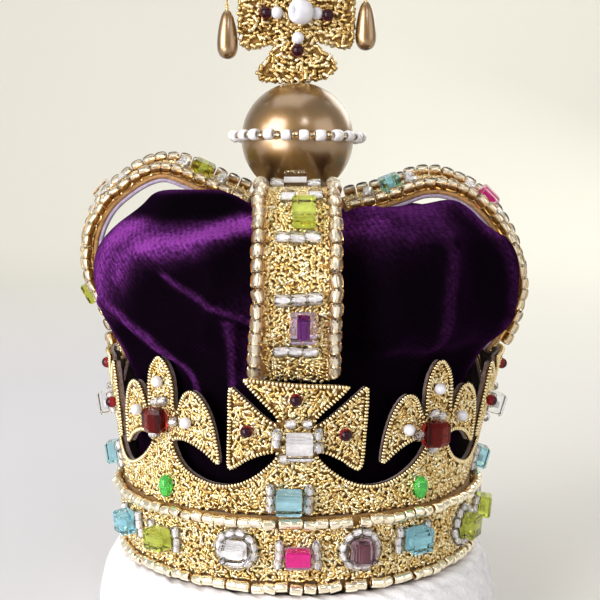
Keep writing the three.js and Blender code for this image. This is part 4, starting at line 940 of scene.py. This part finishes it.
# size of each colour's lined hole against its cube, across, up and through; the foil lies behind it
CORE_SIZE = {"pink": (0.86, 0.70, 0.6), "amethyst": (0.50, 0.70, 0.55), "garnet": (0.34, 0.9, 0.34), "plum": (0.5, 0.7, 0.5)}


HEXAGON = lathe_x([(-0.5, 0.38), (-0.32, 0.5), (0.32, 0.5), (0.5, 0.38)], 6)
ROUND_HOLE = lathe_x([(-0.5, 0.5), (-0.2, 0.5), (0.1, 0.5), (0.5, 0.5)], 20)


def set_gem(colour, w, h, P, across, up, out, node=None, d=3.0):
    heap = gem_heaps[colour]
    if colour == "garnet":  # a six-sided bead standing on end, with one edge to the front
        V, F = HEXAGON[0][:, [2, 0, 1]] * (w / 0.866, h, d) + (0, 0, d / 2), HEXAGON[1]
    else:
        V, F = cube(w, h, d, 0.34)
    heap.add(*one(V, F, P, across, up, out), 0)
    cw, ch, cd = CORE_SIZE.get(colour, (0.9, 0.30, 0.30))
    if colour in ("amethyst", "plum"):
        V, F = ROUND_HOLE[0][:, [2, 0, 1]] * (w * cw, h * ch, d * cd) + (0, 0, d * cd / 2), ROUND_HOLE[1]
    else:
        V, F = cube(w * cw, h * ch, d * cd, 0.06)
    V, F = one(V + (0, 0, d * (0.5 - cd / 2)), F, P, across, up, out)
    heap.add(V, F, 1 if colour in CORE else 2)
    V, F = cube((w - 0.5) * (0.5 if colour == "garnet" else 1), h - 0.5, 0.12, 0.03)  # bright foil at the back of the glass
    V, F = one(V + (0, 0, 0.16), F, P, across, up, out)
    heap.add(V, F, 1 if colour == "garnet" else 2)
    if node:
        gem_nodes[colour].append(node)


def around(pattern, w, h):
    """Where crystal beads sit round a cube: across, up, and the angle of the thread from level."""
    a, b = w / 2 + 0.92, h / 2 + 0.92
    if pattern == "columns":
        return [(s * a, z, 90) for s in (-1, 1) for z in (-1.48, 0, 1.48)]
    if pattern == "halo":
        turn = np.radians(np.arange(12) * 30 + 15)
        return [((a + 0.15) * math.cos(t), (b + 0.15) * math.sin(t), math.degrees(t) + 90) for t in turn]
    return []


def sew(place, az, z, thread, **size):
    """A crystal bead on the band or the cresting, with its thread at an angle from level."""
    Q, c2, u2, o2 = place(az, z, 0.5)
    t = math.radians(thread)
    crystal(Q, math.cos(t) * c2 + math.sin(t) * u2, o2, **size)


for node, az, z, w, hgt, colour, pattern in RING_GEMS:
    place = band_place if z < CREST_FOOT_Z else crest_place
    P, across, up, out = place(az, z, GAP + 0.05)
    if colour == "garnet":  # turned a little
        t = math.radians(-4 if az < 0 else 14)
        across, out = across * math.cos(t) + out * math.sin(t), out * math.cos(t) - across * math.sin(t)
    set_gem(colour, w, hgt, P, across, up, out, node)
    for x, y, thread in around(pattern, w, hgt):
        sew(place, az + math.degrees(x / 32), z + y, thread)

for k in range(4):
    for a, z in CROSS_CRYSTALS:
        sew(crest_place, k * 90 + a, z, 90 if abs(a) > 4 else 8)
    for a, z in CROSS_GARNETS:
        Q, _, _, o2 = crest_place(k * 90 + a, z, 0.75)
        round_bead(Q, o2, 2.05, 3)
for turn in (0, 180):
    for a, z in LILY_LEFT_CRYSTALS + LILY_RIGHT_CRYSTALS:
        sew(crest_place, turn + a, z, 12)
    for a, z in LILY_LEFT_PEARLS + LILY_RIGHT_PEARLS:
        Q, _, _, o2 = crest_place(turn + a, z, 0.8)
        round_bead(Q, o2, 1.95, 2)
for a, z in GREEN_BEADS:
    Q, c2, u2, o2 = crest_place(a, z, 0.75)
    V, F = stamp(lathe_x([(-0.5, 0.22), (-0.3, 0.42), (0, 0.5), (0.3, 0.42), (0.5, 0.22)], 8), Q[None], basis(u2[None], o2[None]), np.array([[3.5, 2.4, 2.4]]))
    LOOSE.add(V, F, 4)

for node, key, along, side, w, hgt, colour in ARCH_GEMS:
    line = ARCH["front" if key == "back" else key]
    s = line.length - along if key == "back" else along
    P, across, on, out = line.place(np.array(s), side, GAP)
    set_gem(colour, w, hgt, P, across, on, out, node)
for key, along, side, count in ARCH_ROWS_OF_BEADS:
    line = ARCH["front" if key == "back" else key]
    s = line.length - along if key == "back" else along
    for k in range(count):
        Q, c2, u2, o2 = line.place(np.array(s), side + 2.3 * (k - (count - 1) / 2), 1.15)
        crystal(Q, c2, o2, length=2.24, width=2.1)

for colour, heap in gem_heaps.items():
    heap.make("gems_" + colour, [GLASS[colour], CORE.get(colour, SILVER), SILVER], "gem_" + GEM_SLOT.get(colour, colour), *gem_nodes[colour], smooth=False)


# ---------------------------------------------------------------- velvet cap
def cap_columns(t):
    """The cap's table read smoothly at row t."""
    i = np.clip(np.floor(t).astype(int), 0, len(CAP_ROWS) - 2)
    w = (t - i)[:, None]
    R = np.vstack([2 * CAP_ROWS[0] - CAP_ROWS[1], CAP_ROWS, 2 * CAP_ROWS[-1] - CAP_ROWS[-2]])
    p0, p1, p2, p3 = (R[i + k] for k in range(4))
    return p1 + 0.5 * w * (p2 - p0 + w * (2 * p0 - 5 * p1 + 4 * p2 - p3 + w * (3 * (p1 - p2) + p3 - p0)))


# Folds of the front of the cap: a line of (azimuth, row of CAP_ROWS), half width and height in mm; below nought
# it is a furrow. The back of the cap is folded in the same way, turned half round.
CAP_FOLDS = [
    # left of the front arch: the lip of a shelf and the edge of a bulge round a deep hollow with slanting creases
    ([(-11, 9.7), (-18, 9.25), (-24.5, 9.05), (-30, 8.85), (-36, 8.6), (-41, 8.15), (-43.5, 7.5), (-44.5, 6.9), (-45.5, 6.3)], 1.5, 1.4),
    ([(-36, 7.85), (-31, 7.3), (-25, 6.85), (-19, 6.45), (-14.6, 6.12), (-11.5, 5.85)], 1.0, 1.5),
    ([(-61, 6.8), (-57.5, 6.6), (-49, 6.0), (-44, 5.2), (-39, 4.4), (-31, 3.5)], 1.1, 2.2),
    ([(-18, 6.0), (-18.7, 5.4), (-19.7, 4.7), (-20.5, 3.7)], 1.0, 1.5),
    # right of it: a soft upright fold and a corner that leans on the right arch
    ([(46, 9.7), (42, 9.0), (38.6, 8.2), (36.6, 7.2), (37.0, 6.2), (38.6, 5.3), (41, 4.4)], 1.2, 1.1),
    ([(58, 10.4), (62, 9.5), (66, 8.5), (67.5, 7.5), (67, 6.4)], 1.8, 0.9),
]
# Broad hollows and bulges: azimuth, row, reach along the ring and up in mm, height in mm.
CAP_DENTS = [
    (-33, 6.9, 6.0, 4.6, -2.6), (-22, 7.5, 6.0, 4.0, -2.6), (-24, 5.6, 4.5, 3.0, -1.4), (-57, 5.2, 4.0, 2.6, -2.2), (-57, 8.2, 6.0, 5.0, 0.8),
    (26, 7.4, 8.0, 6.0, -0.3), (34, 7.4, 2.2, 5.0, -0.7), (50, 8.0, 4.0, 6.5, -2.2), (57, 6.6, 5.0, 4.0, -0.8),
    (58, 10.7, 3.0, 2.4, 2.2), (20, 10.9, 5.0, 3.0, 1.8), (32, 11.2, 7.0, 4.0, -0.7), (65, 9.6, 4.0, 2.5, -0.6),
]
# Behind the shelf the cloth steps up to the crown: row, and how far out and up it is moved there.
CAP_STEP = np.array([
    (8.0, 0, 0), (8.4, 0.8, 0.2), (9.0, 0.2, -0.2), (9.6, -1.0, -0.6), (10.0, -1.0, -0.6), (10.5, 0.9, 0.4), (11.0, 3.0, 0.9),
    (11.5, 3.8, 1.2), (12.0, 2.2, 1.0), (13.0, 0, 0.3), (14.0, 0, 0),
])
# The puffs bulge over the cresting beside each side cross: azimuth, z, reach in degrees and in mm, height in mm.
CAP_LOW_SWELLS = [(-69, 37.0, 10, 4.0, 2.0), (-70, 34.0, 9, 4.0, 1.0), (70, 38.5, 10.5, 5.0, 2.8), (72, 33.0, 9, 4.5, 2.6)]
# Painted sheen and painted shade on the cloth: a line of (azimuth, row), half width in mm and how much; above nought it
# paints sheen, below nought shade.
CAP_SHEEN_STROKES = [
    ([(-62, 7.2), (-60, 7.9), (-57, 8.6), (-57, 9.2)], 4.4, 0.64), ([(-51, 7.9), (-47.5, 8.4), (-45, 8.8)], 2.6, 0.60),
    ([(-44.6, 8.8), (-35, 8.8), (-27.4, 9.1), (-21.4, 9.5), (-14.6, 10.3), (-10, 10.6)], 2.0, 0.70),
    ([(-62, 10.4), (-48, 10.5), (-37, 10.7), (-29, 10.7), (-20, 11.2)], 2.0, -0.55),
    ([(-36, 7.85), (-31, 7.3), (-25, 6.85), (-19, 6.45), (-14.6, 6.12), (-11.5, 5.85)], 0.55, 0.38), ([(-17, 6.3), (-12, 6.6)], 1.8, 0.14),
    ([(-57, 6.9), (-49, 6.25), (-44, 5.5), (-39, 4.6), (-34, 3.7), (-31, 3.0)], 0.55, 0.48),
    ([(-66, 5.6), (-66, 4.7), (-66, 3.8)], 1.0, 0.36), ([(-57, 5.4), (-52, 4.6)], 2.4, -0.06),
    ([(-18, 5.9), (-19, 5.1), (-20, 4.2), (-20.5, 3.4)], 0.55, 0.42), ([(-15, 5.2), (-17, 3.8)], 1.6, 0.24),
    ([(11, 10.4), (22, 10.5), (34, 11.2), (48, 11.2)], 2.6, 0.14), ([(12, 10.3), (19, 9.9)], 3.0, 0.32), ([(11, 9.3), (20, 9.0), (29, 9.2)], 2.8, 0.15),
    ([(39.8, 8.6), (38.6, 8.0), (37.6, 7.1), (37.8, 5.9), (39, 5.1)], 1.1, 0.27), ([(12, 5.0), (30, 5.0), (40, 5.2), (50, 5.4)], 1.6, -0.06),
    ([(58, 10.2), (61.7, 9.1), (64, 8.1), (65.5, 7.2), (65, 6.3)], 1.3, 0.30), ([(64, 5.6), (67, 4.6), (69, 3.6)], 1.3, 0.34),
    ([(45, 9.6), (46, 8.6), (47, 7.2), (47, 6.0)], 2.0, -0.06),
]


def fold_distance(x, y, line):
    """Distance from a line, and the share of it gone by at the nearest point."""
    near, gone = np.full(x.shape, 1e9), np.zeros(x.shape)
    for i in range(len(line) - 1):
        a, ab = line[i], line[i + 1] - line[i]
        w = np.clip(((x - a[0]) * ab[0] + (y - a[1]) * ab[1]) / (ab @ ab), 0, 1)
        d = (x - a[0] - w * ab[0]) ** 2 + (y - a[1] - w * ab[1]) ** 2
        gone = np.where(d < near, (i + w) / (len(line) - 1), gone)
        near = np.minimum(near, d)
    return near, gone


def cap_surface(az, t):
    """Points of the cap's outer face on a grid of azimuth by row, the outward direction at each, and its painted sheen
    and shade.
    """
    A, T = np.meshgrid(az, t, indexing="ij")
    ar, azz, pr, pz = (cap_columns(t)[:, k][None] for k in range(4))
    aside = ar * np.sin(np.radians(np.abs((A + 45) % 90 - 45)))
    puff = smoothstep((aside - 7.0) / 6.5)
    rise = smoothstep((pz - 32) / 10) * smoothstep((pr - 8) / 18)
    wide = pr + 1.6 * np.sin(np.radians(A)) * rise
    r = ar + (wide - ar) * puff
    z = azz + (pz - azz) * puff
    beside = smoothstep((aside - 6.4) / 4.5)
    for at, level, along, tall, height in CAP_LOW_SWELLS:
        off = np.minimum(np.abs((A - at + 180) % 360 - 180), np.abs((A - at) % 360 - 180)) / along
        r = r + height * beside * np.exp(-off * off - ((z - level) / tall) ** 2)
    z = z - 1.5 * smoothstep(1.6 * np.sin(np.radians(A))) * smoothstep((z - 53) / 7)  # the crown sinks to the right
    k = np.linspace(0, 15, 601)
    soft = np.exp(-0.5 * (np.arange(-16, 17) / 6.0) ** 2)
    out, lift = (np.interp(t, k, np.convolve(np.interp(k, CAP_STEP[:, 0], CAP_STEP[:, c]), soft / soft.sum(), "same")) for c in (1, 2))
    a = (A + 180) % 360 - 180
    share = smoothstep((a + 72) / 16) * smoothstep((-12 - a) / 14)
    deep = -4.5 * smoothstep((a + 48) / 30) * smoothstep((T - 9.0) / 1.0) * smoothstep((13.2 - T) / 1.6)  # the shelf widens towards the arch
    r, z = r + share * (out + deep), z + share * lift
    P = on_ring(A, r, z)
    N = unit(np.cross(np.gradient(P, axis=0), np.gradient(P, axis=1)))
    # folds are laid out on the puff as if it were flat: mm along the ring and mm up the section
    rows = np.arange(len(CAP_ROWS))
    up = np.concatenate([[0], np.cumsum(np.linalg.norm(np.diff(CAP_ROWS[:, 2:], axis=0), axis=1))])
    mm = math.radians(1) * 36
    y = np.interp(T, rows, up)
    push = np.zeros_like(r)
    for turn in (0, 180):
        x = ((A - turn + 180) % 360 - 180) * mm
        front = np.abs(x) < 95 * mm
        for line, width, height in CAP_FOLDS:
            q = np.array([(a * mm, np.interp(k, rows, up)) for a, k in line])
            d, gone = fold_distance(x, y, spline(q, 6))
            push += front * height * np.exp(-d / (2 * width**2)) * smoothstep(gone / 0.12 + 0.25) * smoothstep((1 - gone) / 0.12 + 0.25)
        for a, k, along, tall, height in CAP_DENTS:
            d = ((x - a * mm) / along) ** 2 + ((y - np.interp(k, rows, up)) / tall) ** 2
            push += front * height * np.exp(-d / 2)
    a = np.radians(A)
    push += 0.16 * np.sin(31 * a + 3 * np.sin(3 * a) + 0.12 * z) * smoothstep((44 - z) / 8)
    amount = smoothstep((pz - 32) / 5) * smoothstep((pr - 5) / 12) * smoothstep((aside - 5.0) / 5.0)
    P = P + N * (push * amount)[..., None]
    for _ in range(5):  # cloth takes no sharp turns
        mean = (np.roll(P, 1, 0) + np.roll(P, -1, 0)) / 4
        mean[:, 1:-1] += (P[:, 2:] + P[:, :-2]) / 4
        P[:, 8:-1] += 0.6 * (mean - P)[:, 8:-1]
    N = unit(np.cross(np.gradient(P, axis=0), np.gradient(P, axis=1)))
    # painted light: up-facing cloth high on the crown gets painted sheen; the rest starts near black as painted shade
    brush = 0.06 + 0.38 * smoothstep((N[..., 2] - 0.48) / 0.5) * smoothstep((P[..., 2] - 46) / 9)
    highlit, shaded = np.zeros_like(brush), np.zeros_like(brush)
    for turn in (0, 180):
        x = ((A - turn + 180) % 360 - 180) * mm
        for line, width, much in CAP_SHEEN_STROKES:
            d, _ = fold_distance(x, y, np.array([(a * mm, np.interp(k, rows, up)) for a, k in line]))
            stroke = (np.abs(x) < 95 * mm) * much * np.exp(-((d / (2 * width**2)) ** (1.7 if width < 1.2 else 1.0)))
            highlit, shaded = np.maximum(highlit, stroke), np.minimum(shaded, stroke)
    brush = brush + highlit + shaded
    return P, N, np.clip(brush, 0, 1)


def velvet():
    n, thick = 420, 0.9
    t = np.concatenate([np.linspace(0, 3, 7, endpoint=False), np.linspace(3, 15, 78)])
    P, N, brush = cap_surface(np.arange(n) / n * 360, t)
    cols = P.shape[1]
    N[:, 0, 2] = 0
    under = np.unique(np.append(np.arange(0, cols, 4), cols - 1))  # the wrong side is smoother
    inner, few = (P - N * thick)[:, under], len(under)
    V = np.concatenate([P.reshape(-1, 3), inner.reshape(-1, 3), [(0, 0, P[0, -1, 2]), (0, 0, P[0, -1, 2] - thick)]])
    i = np.arange(n)
    i1, half, pole = (i + 1) % n, n * cols, n * (cols + few)
    top, top1 = i * cols + cols - 1, i1 * cols + cols - 1
    low, low1 = half + i * few + few - 1, half + i1 * few + few - 1
    h = Heap()
    h.add(V, [
        grid_faces(n, cols, wrap_rows=True)[:, ::-1], grid_faces(n, few, wrap_rows=True) + half,
        np.stack([i * cols, i * few + half, i1 * few + half, i1 * cols], -1),
        np.stack([top, top1, np.full(n, pole)], -1), np.stack([low1, low, np.full(n, pole + 1)], -1),
    ], brush=np.concatenate([brush.ravel(), np.full(n * few + 2, 0.3)]))
    return h.make("velvet_cap_cloth", VELVET, "velvet", "velvet_cap")


cap = velvet()


# ---------------------------------------------------------------- plush roll
def plush_roll():
    section = chaikin(ROLL_SECTION, 3, True)
    section[:, 1] = np.maximum(section[:, 1], 0)
    q = resample(section, 0.55, True)
    n = 300
    az = np.arange(n) / n * 360
    h = Heap()
    grid = np.stack([on_ring(az, r, z - BAND_Z) for r, z in q])
    t = np.roll(q, -1, 0) - np.roll(q, 1, 0)
    nr, nz = unit(np.stack([t[:, 1], -t[:, 0]], -1)).T
    N = np.stack([on_ring(az, r, z) for r, z in zip(nr, nz)])
    A = np.radians(az)[None]
    k = np.arange(len(q))[:, None]
    soft = 0.16 * np.sin(23 * A + 0.7 * k) * np.sin(0.5 * k + 3 * np.sin(5 * A)) + 0.10 * np.sin(61 * A + 1.1 * k)
    soft *= smoothstep((q[:, 1] - 0.6) / 1.5)[:, None]
    grid = grid + N * (soft - 0.2 * smoothstep((q[:, 1] - 0.3) / 0.8)[:, None])[..., None]
    h.add(grid.reshape(-1, 3), [grid_faces(len(q), n, wrap_rows=True, wrap_cols=True)[:, ::-1]])
    ob = h.make("plush_roll", PLUSH, "plush", "ermine_band")
    # the pile: short fibres that lean downwards and to one side
    show = np.nonzero((q[:, 1] > 0.5) & (q[:, 0] > 33.6))[0]  # none in the seam below the beads
    m = 42000
    i = show[RNG.integers(0, len(show), m)]
    j = RNG.integers(0, n, m)
    base = grid[i, j]
    nn = N[i, j]
    az_j = az[j]
    side = on_ring(az_j + 90, 1, 0)
    down = np.cross(side, nn)
    base = base + side * RNG.uniform(-0.4, 0.4, (m, 1)) + down * RNG.uniform(-0.3, 0.3, (m, 1))
    lean = unit(0.26 * nn + unit(side * RNG.normal(0, 0.6, (m, 1)) + down * RNG.normal(0.2, 0.5, (m, 1))))
    tall = RNG.uniform(0.35, 0.85, (m, 1))
    wide = unit(np.cross(lean, nn)) * 0.05
    tip = base + lean * tall
    tip[:, 2] = np.maximum(tip[:, 2], -BAND_Z + 0.05)
    V = np.stack([base - wide, base + wide, tip], 1)
    turned = (np.cross(V[:, 1] - V[:, 0], V[:, 2] - V[:, 0]) * nn).sum(1) < 0
    V[turned] = V[turned][:, [1, 0, 2]]
    V = V.reshape(-1, 3)
    p = Heap()
    p.add(V, [np.arange(3 * m).reshape(-1, 3)])
    pile = p.make("plush_pile", PLUSH, "plush")
    pile.data.normals_split_custom_set_from_vertices(np.repeat(nn, 3, axis=0).tolist())
    return ob, pile


roll, pile = plush_roll()

# ---------------------------------------------------------------- monde and its beads
h = Heap()
a = np.linspace(0.1, math.pi - 0.1, 49)
V, F = lathe_x(np.stack([-np.cos(a) * MONDE_R, np.sin(a) * MONDE_R], -1), 80)
V = np.stack([V[:, 1], V[:, 2], V[:, 0]], -1) + (0, 0, MONDE_Z)
h.add(V, F)
h.make("monde_pearl", BRONZE, "bronze_pearl", "monde")

h = Heap()
count = 24
az = (np.arange(count) + 0.37 + RNG.uniform(-0.1, 0.1, count)) / count * 360
tilt = lambda az: 71.6 - 0.14 * np.sin(np.radians(az))
ring_bead = seed_bead(0.3, 2.3, 10, 16)
string_beads(h, on_ring(az, 11.4, tilt(az)), on_ring(az + 90, 1, 0), on_ring(az, 1, 0), 1.75, 2.05, (0,), ring_bead)
az = (az + np.roll(az, -1)) / 2
az[-1] += 180
string_beads(h, on_ring(az, 11.3, tilt(az)), on_ring(az + 90, 1, 0), on_ring(az, 1, 0), 0.95, 1.35, (1, 2))
h.make("monde_beads_strung", [WHITE_GLASS, AMBER_GLASS, GOLD_LINING], "white_beads", "monde_beads")

# ---------------------------------------------------------------- top cross
h = Heap()
n = len(CROSS_LOOP)
shrink = CROSS_LOOP * 0.97
face = CROSS_T / 2 - 0.5
V = np.vstack([
    np.stack([shrink[:, 0], np.full(n, -face), shrink[:, 1] + CROSS_Z], -1),
    np.stack([shrink[:, 0], np.full(n, face), shrink[:, 1] + CROSS_Z], -1),
])
i = np.arange(n)
h.add(V, [i[None, ::-1], (i + n)[None], np.stack([i, (i + 1) % n, (i + 1) % n + n, i + n], -1)])
h.m = [np.full(1, 0), np.full(1, 0), np.full(n, 1)]
h.make("top_cross_felt", [FELT_GOLD_SHADED, FELT_BROWN], "gold_chips", "top_cross", smooth=False)

h = Heap()
closed = np.vstack([CROSS_LOOP, CROSS_LOOP[:1]])
for y in (-1, 1):
    P = scatter(-10.2, 10.2, -12.3, 12.3, 0.88)
    P = P[inside(P, CROSS_LOOP)]
    P = P[edge_distance(P, closed) > 0.7]
    m = len(P)
    pt = np.stack([P[:, 0], np.full(m, y * CROSS_T / 2), P[:, 1] + CROSS_Z], -1)
    one_ = np.ones((m, 1))
    lay_chips(h, pt, one_ * (1, 0, 0), one_ * (0, 0, 1), one_ * (0, y, 0), lift=0.1, long=(0.9, 1.5), wide=(0.74, 0.96), heave=0.42, template=COILED, level=0.55)
L = resample(CROSS_LOOP, 1.05, True)
m = len(L)
T = unit(np.roll(L, -1, 0) - np.roll(L, 1, 0))
for y in (-0.85, 0, 0.85):
    turn = RNG.normal(0, 0.8, m)
    axis = np.stack([T[:, 0] * np.cos(turn) - T[:, 1] * np.sin(turn), RNG.normal(0, 0.2, m), T[:, 0] * np.sin(turn) + T[:, 1] * np.cos(turn)], -1)
    pt = np.stack([L[:, 0] * 0.985, y + RNG.normal(0, 0.08, m), L[:, 1] * 0.985 + CROSS_Z], -1)
    long, wide = RNG.uniform(1.0, 1.4, m), RNG.uniform(0.78, 1.0, m)
    V, F = stamp(COILED, pt, basis(axis, np.array([[0.05, -1.0, 0.1]])), np.stack([long, wide, wide], -1))
    coil = COILED[0][:, 0]
    h.add(V, F, tone=np.repeat(RNG.beta(2.0, 1.7, m), len(coil)), coil=(coil[None] * long[:, None]).ravel())
h.make("top_cross_chips", BULLION, "gold_chips")

h = Heap()
# the pin that carries the cross through the pearl, and the wire eyes at its sides
h.add(*tube([(0, 0, MONDE_Z - MONDE_R - 1.2), (0, 0, MONDE_Z), (0, 0, CROSS_Z - 11.5)], 0.6, 10))
for name, x, top in DROPS:
    side = math.copysign(1, x)
    eye_z, loop_z = top + 2.2 + 0.3 + EYE_R, top + 2.2
    a = np.linspace(0, 2 * np.pi, 26, endpoint=False)
    h.add(*tube(np.stack([x + EYE_R * np.cos(a), 0 * a, eye_z + EYE_R * np.sin(a)], -1), 0.2, 8, True))
    turns = np.linspace(0, 1, 40)
    h.add(*tube(np.stack([
        side * 9.4 + (x - side * EYE_R - side * 9.4) * turns, 0.22 * np.sin(turns * 22), eye_z + 0.22 * np.cos(turns * 22),
    ], -1), 0.15, 7))
h.make("top_cross_wire", WIRE, "gold_chips")

h = Heap()
pearl_bead = seed_bead(0.22, 2.1, 14, 28)
turn = math.radians(32)  # its hole looks to the left
turned = np.array([(math.cos(turn), -math.sin(turn), 0), (math.sin(turn), math.cos(turn), 0), (0, 0, 1)])
V, F = stamp(pearl_bead, [(0.6, -(CROSS_T / 2 + GAP + 2.15), CROSS_Z - 0.75)], turned[None], [(3.6, 4.0, 4.4)])
h.add(V, F)
h.make("cross_pearl_bead", WHITE_PEARL, "white_beads", "cross_pearl")
for x, z, mat in ((-3.6, -0.7, 2), (3.4, -0.8, 2), (0.1, -5.0, 2), (0, 3.6, 2), (-5.5, -0.7, 3), (5.3, -1.1, 3), (0, -7.2, 3), (0, 5.9, 3)):
    for y in (-1, 1):
        round_bead(np.array([x, y * (CROSS_T / 2 + 0.8), CROSS_Z + z]), np.array([0, y, 0.01]), 2.25, mat)
LOOSE.make("sewn_beads", LOOSE_MATS, "white_beads")

for name, x, top in DROPS:
    h = Heap()
    q = spline(DROP_SECTION, 6)
    V, F = lathe_x(np.stack([q[:, 0] * DROP_L, np.maximum(q[:, 1], 0.02) * DROP_D / 2], -1), 28)
    V = np.stack([x + V[:, 1], V[:, 2], top - V[:, 0]], -1)
    h.add(V, [f[:, ::-1] for f in F], 0)
    loop_z = top + 2.2
    a = np.linspace(0, 2 * np.pi, 24, endpoint=False)
    h.add(*tube(np.stack([x + 0 * a, LOOP_R * np.sin(a), loop_z + LOOP_R * np.cos(a)], -1), 0.2, 8, True), 1)
    h.add(*tube([(x, 0, top - 1.0), (x, 0, top), (x, 0, loop_z - LOOP_R)], 0.2, 8), 1)
    turns = np.linspace(0, 1, 46)
    h.add(*tube(np.stack([
        x + 0.3 * np.cos(turns * 17), 0.3 * np.sin(turns * 17), top - 0.1 + turns * 1.25,
    ], -1), 0.13, 6), 1)
    h.make(name + "_pearl", [BRONZE, WIRE], "bronze_pearl", name)


# ---------------------------------------------------------------- stage, light and camera
def sweep():
    y = np.concatenate([np.linspace(-2.0, 0.7, 12), 0.7 + 0.5 * np.sin(np.linspace(0.1, np.pi / 2, 10)), [1.2]])
    z = np.concatenate([np.zeros(12), 0.5 - 0.5 * np.cos(np.linspace(0.1, np.pi / 2, 10)), [2.6]])
    x = np.array([-2.5, 2.5])
    V = np.array([(u, b, c) for b, c in zip(y, z) for u in x])
    F = grid_faces(len(y), 2)
    me = bpy.data.meshes.new("floor")
    me.from_pydata(V.tolist(), [], F[:, ::-1].tolist())
    me.polygons.foreach_set("use_smooth", np.full(len(F), True))
    m, n, l, b = material("cream_paper", Roughness=0.9)
    b.inputs["Specular IOR Level"].default_value = 0.15
    tc = n.new("ShaderNodeTexCoord")
    at = n.new("ShaderNodeSeparateXYZ")
    l.new(tc.outputs["Object"], at.inputs["Vector"])
    back = math_node(n, l, "ADD", math_node(n, l, "MULTIPLY", at.outputs["Y"], 0.9), math_node(n, l, "MULTIPLY", noise(n, l, 3.0, 2), 0.06))
    # painted shade: the paper's colour darkens towards the left, under the window's light; it is greyer in front than
    # at the back
    across = math_node(n, l, "ADD", math_node(n, l, "MULTIPLY", at.outputs["X"], 4.0), 0.5)
    near = ramp(n, l, across, [(0.28, (0.635, 0.632, 0.662)), (0.75, (0.76, 0.747, 0.72))])
    far = ramp(n, l, across, [(0.1, (0.815, 0.80, 0.735)), (0.9, (0.89, 0.88, 0.80))])
    mix = n.new("ShaderNodeMix")
    mix.data_type = "RGBA"
    l.new(math_node(n, l, "DIVIDE", math_node(n, l, "SUBTRACT", back, 0.24), 0.55), mix.inputs["Factor"])
    l.new(near, mix.inputs[6])
    l.new(far, mix.inputs[7])
    l.new(mix.outputs[2], b.inputs["Base Color"])
    me.materials.append(m)
    ob = bpy.data.objects.new("floor", me)
    bpy.context.scene.collection.objects.link(ob)


def area(name, at, aim, size, watts, colour):
    d = bpy.data.lights.new(name, "AREA")
    d.shape, d.size, d.size_y = "RECTANGLE", *size
    d.energy, d.color = watts, colour
    ob = bpy.data.objects.new(name, d)
    ob.location = at
    ob.rotation_euler = (Vector(aim) - Vector(at)).to_track_quat("-Z", "Y").to_euler()
    bpy.context.scene.collection.objects.link(ob)


sweep()
area("window", (-0.62, -0.62, 0.33), (0, 0, 0.07), (0.55, 0.70), 8.3, (1.0, 0.985, 0.97))
area("window_side", (-0.83, -0.36, 0.22), (0, 0, 0.08), (0.36, 0.50), 2.4, (1.0, 0.985, 0.97))
area("room_right", (0.75, -0.45, 0.30), (0, 0, 0.06), (0.7, 0.7), 1.9, (1.0, 0.97, 0.94))
area("table", (-0.155, -0.215, 0.004), (0, 0, 0.09), (0.15, 0.10), 0.32, (1.0, 0.98, 0.96))
area("lamp", (0.21, -0.70, 0.57), (0, 0, 0.08), (0.12, 0.12), 0.6, (1.0, 0.98, 0.95))
area("overhead", (-0.1, 0.05, 0.85), (0, 0, 0.05), (0.7, 0.7), 1.6, (1.0, 1.0, 1.0))
area("behind", (0.5, 0.75, 0.5), (0.02, 0, 0.07), (0.5, 0.5), 1.5, (1.0, 0.98, 0.95))
area("backdrop", (0, 0.45, 1.0), (0, 1.1, 0.15), (1.6, 0.3), 2.4, (1.0, 0.99, 0.97))

scene = bpy.context.scene
world = bpy.data.worlds.new("soft_room")
scene.world = world
world.use_nodes = True
bg = world.node_tree.nodes["Background"]
bg.inputs["Color"].default_value = (0.95, 0.93, 0.88, 1)
bg.inputs["Strength"].default_value = 0.45

cam = bpy.data.cameras.new("camera")
cam.sensor_width, cam.lens, cam.clip_start = 36.0, 68.138, 0.005
camera = bpy.data.objects.new("camera", cam)
camera.location = (-0.00095, -0.205, 0.08069)
camera.rotation_euler = (math.radians(90 - 5.949), 0, 0)
scene.collection.objects.link(camera)
scene.camera = camera
scene.view_settings.view_transform = "Standard"
scene.view_settings.look = "None"

bpy.context.view_layer.update()
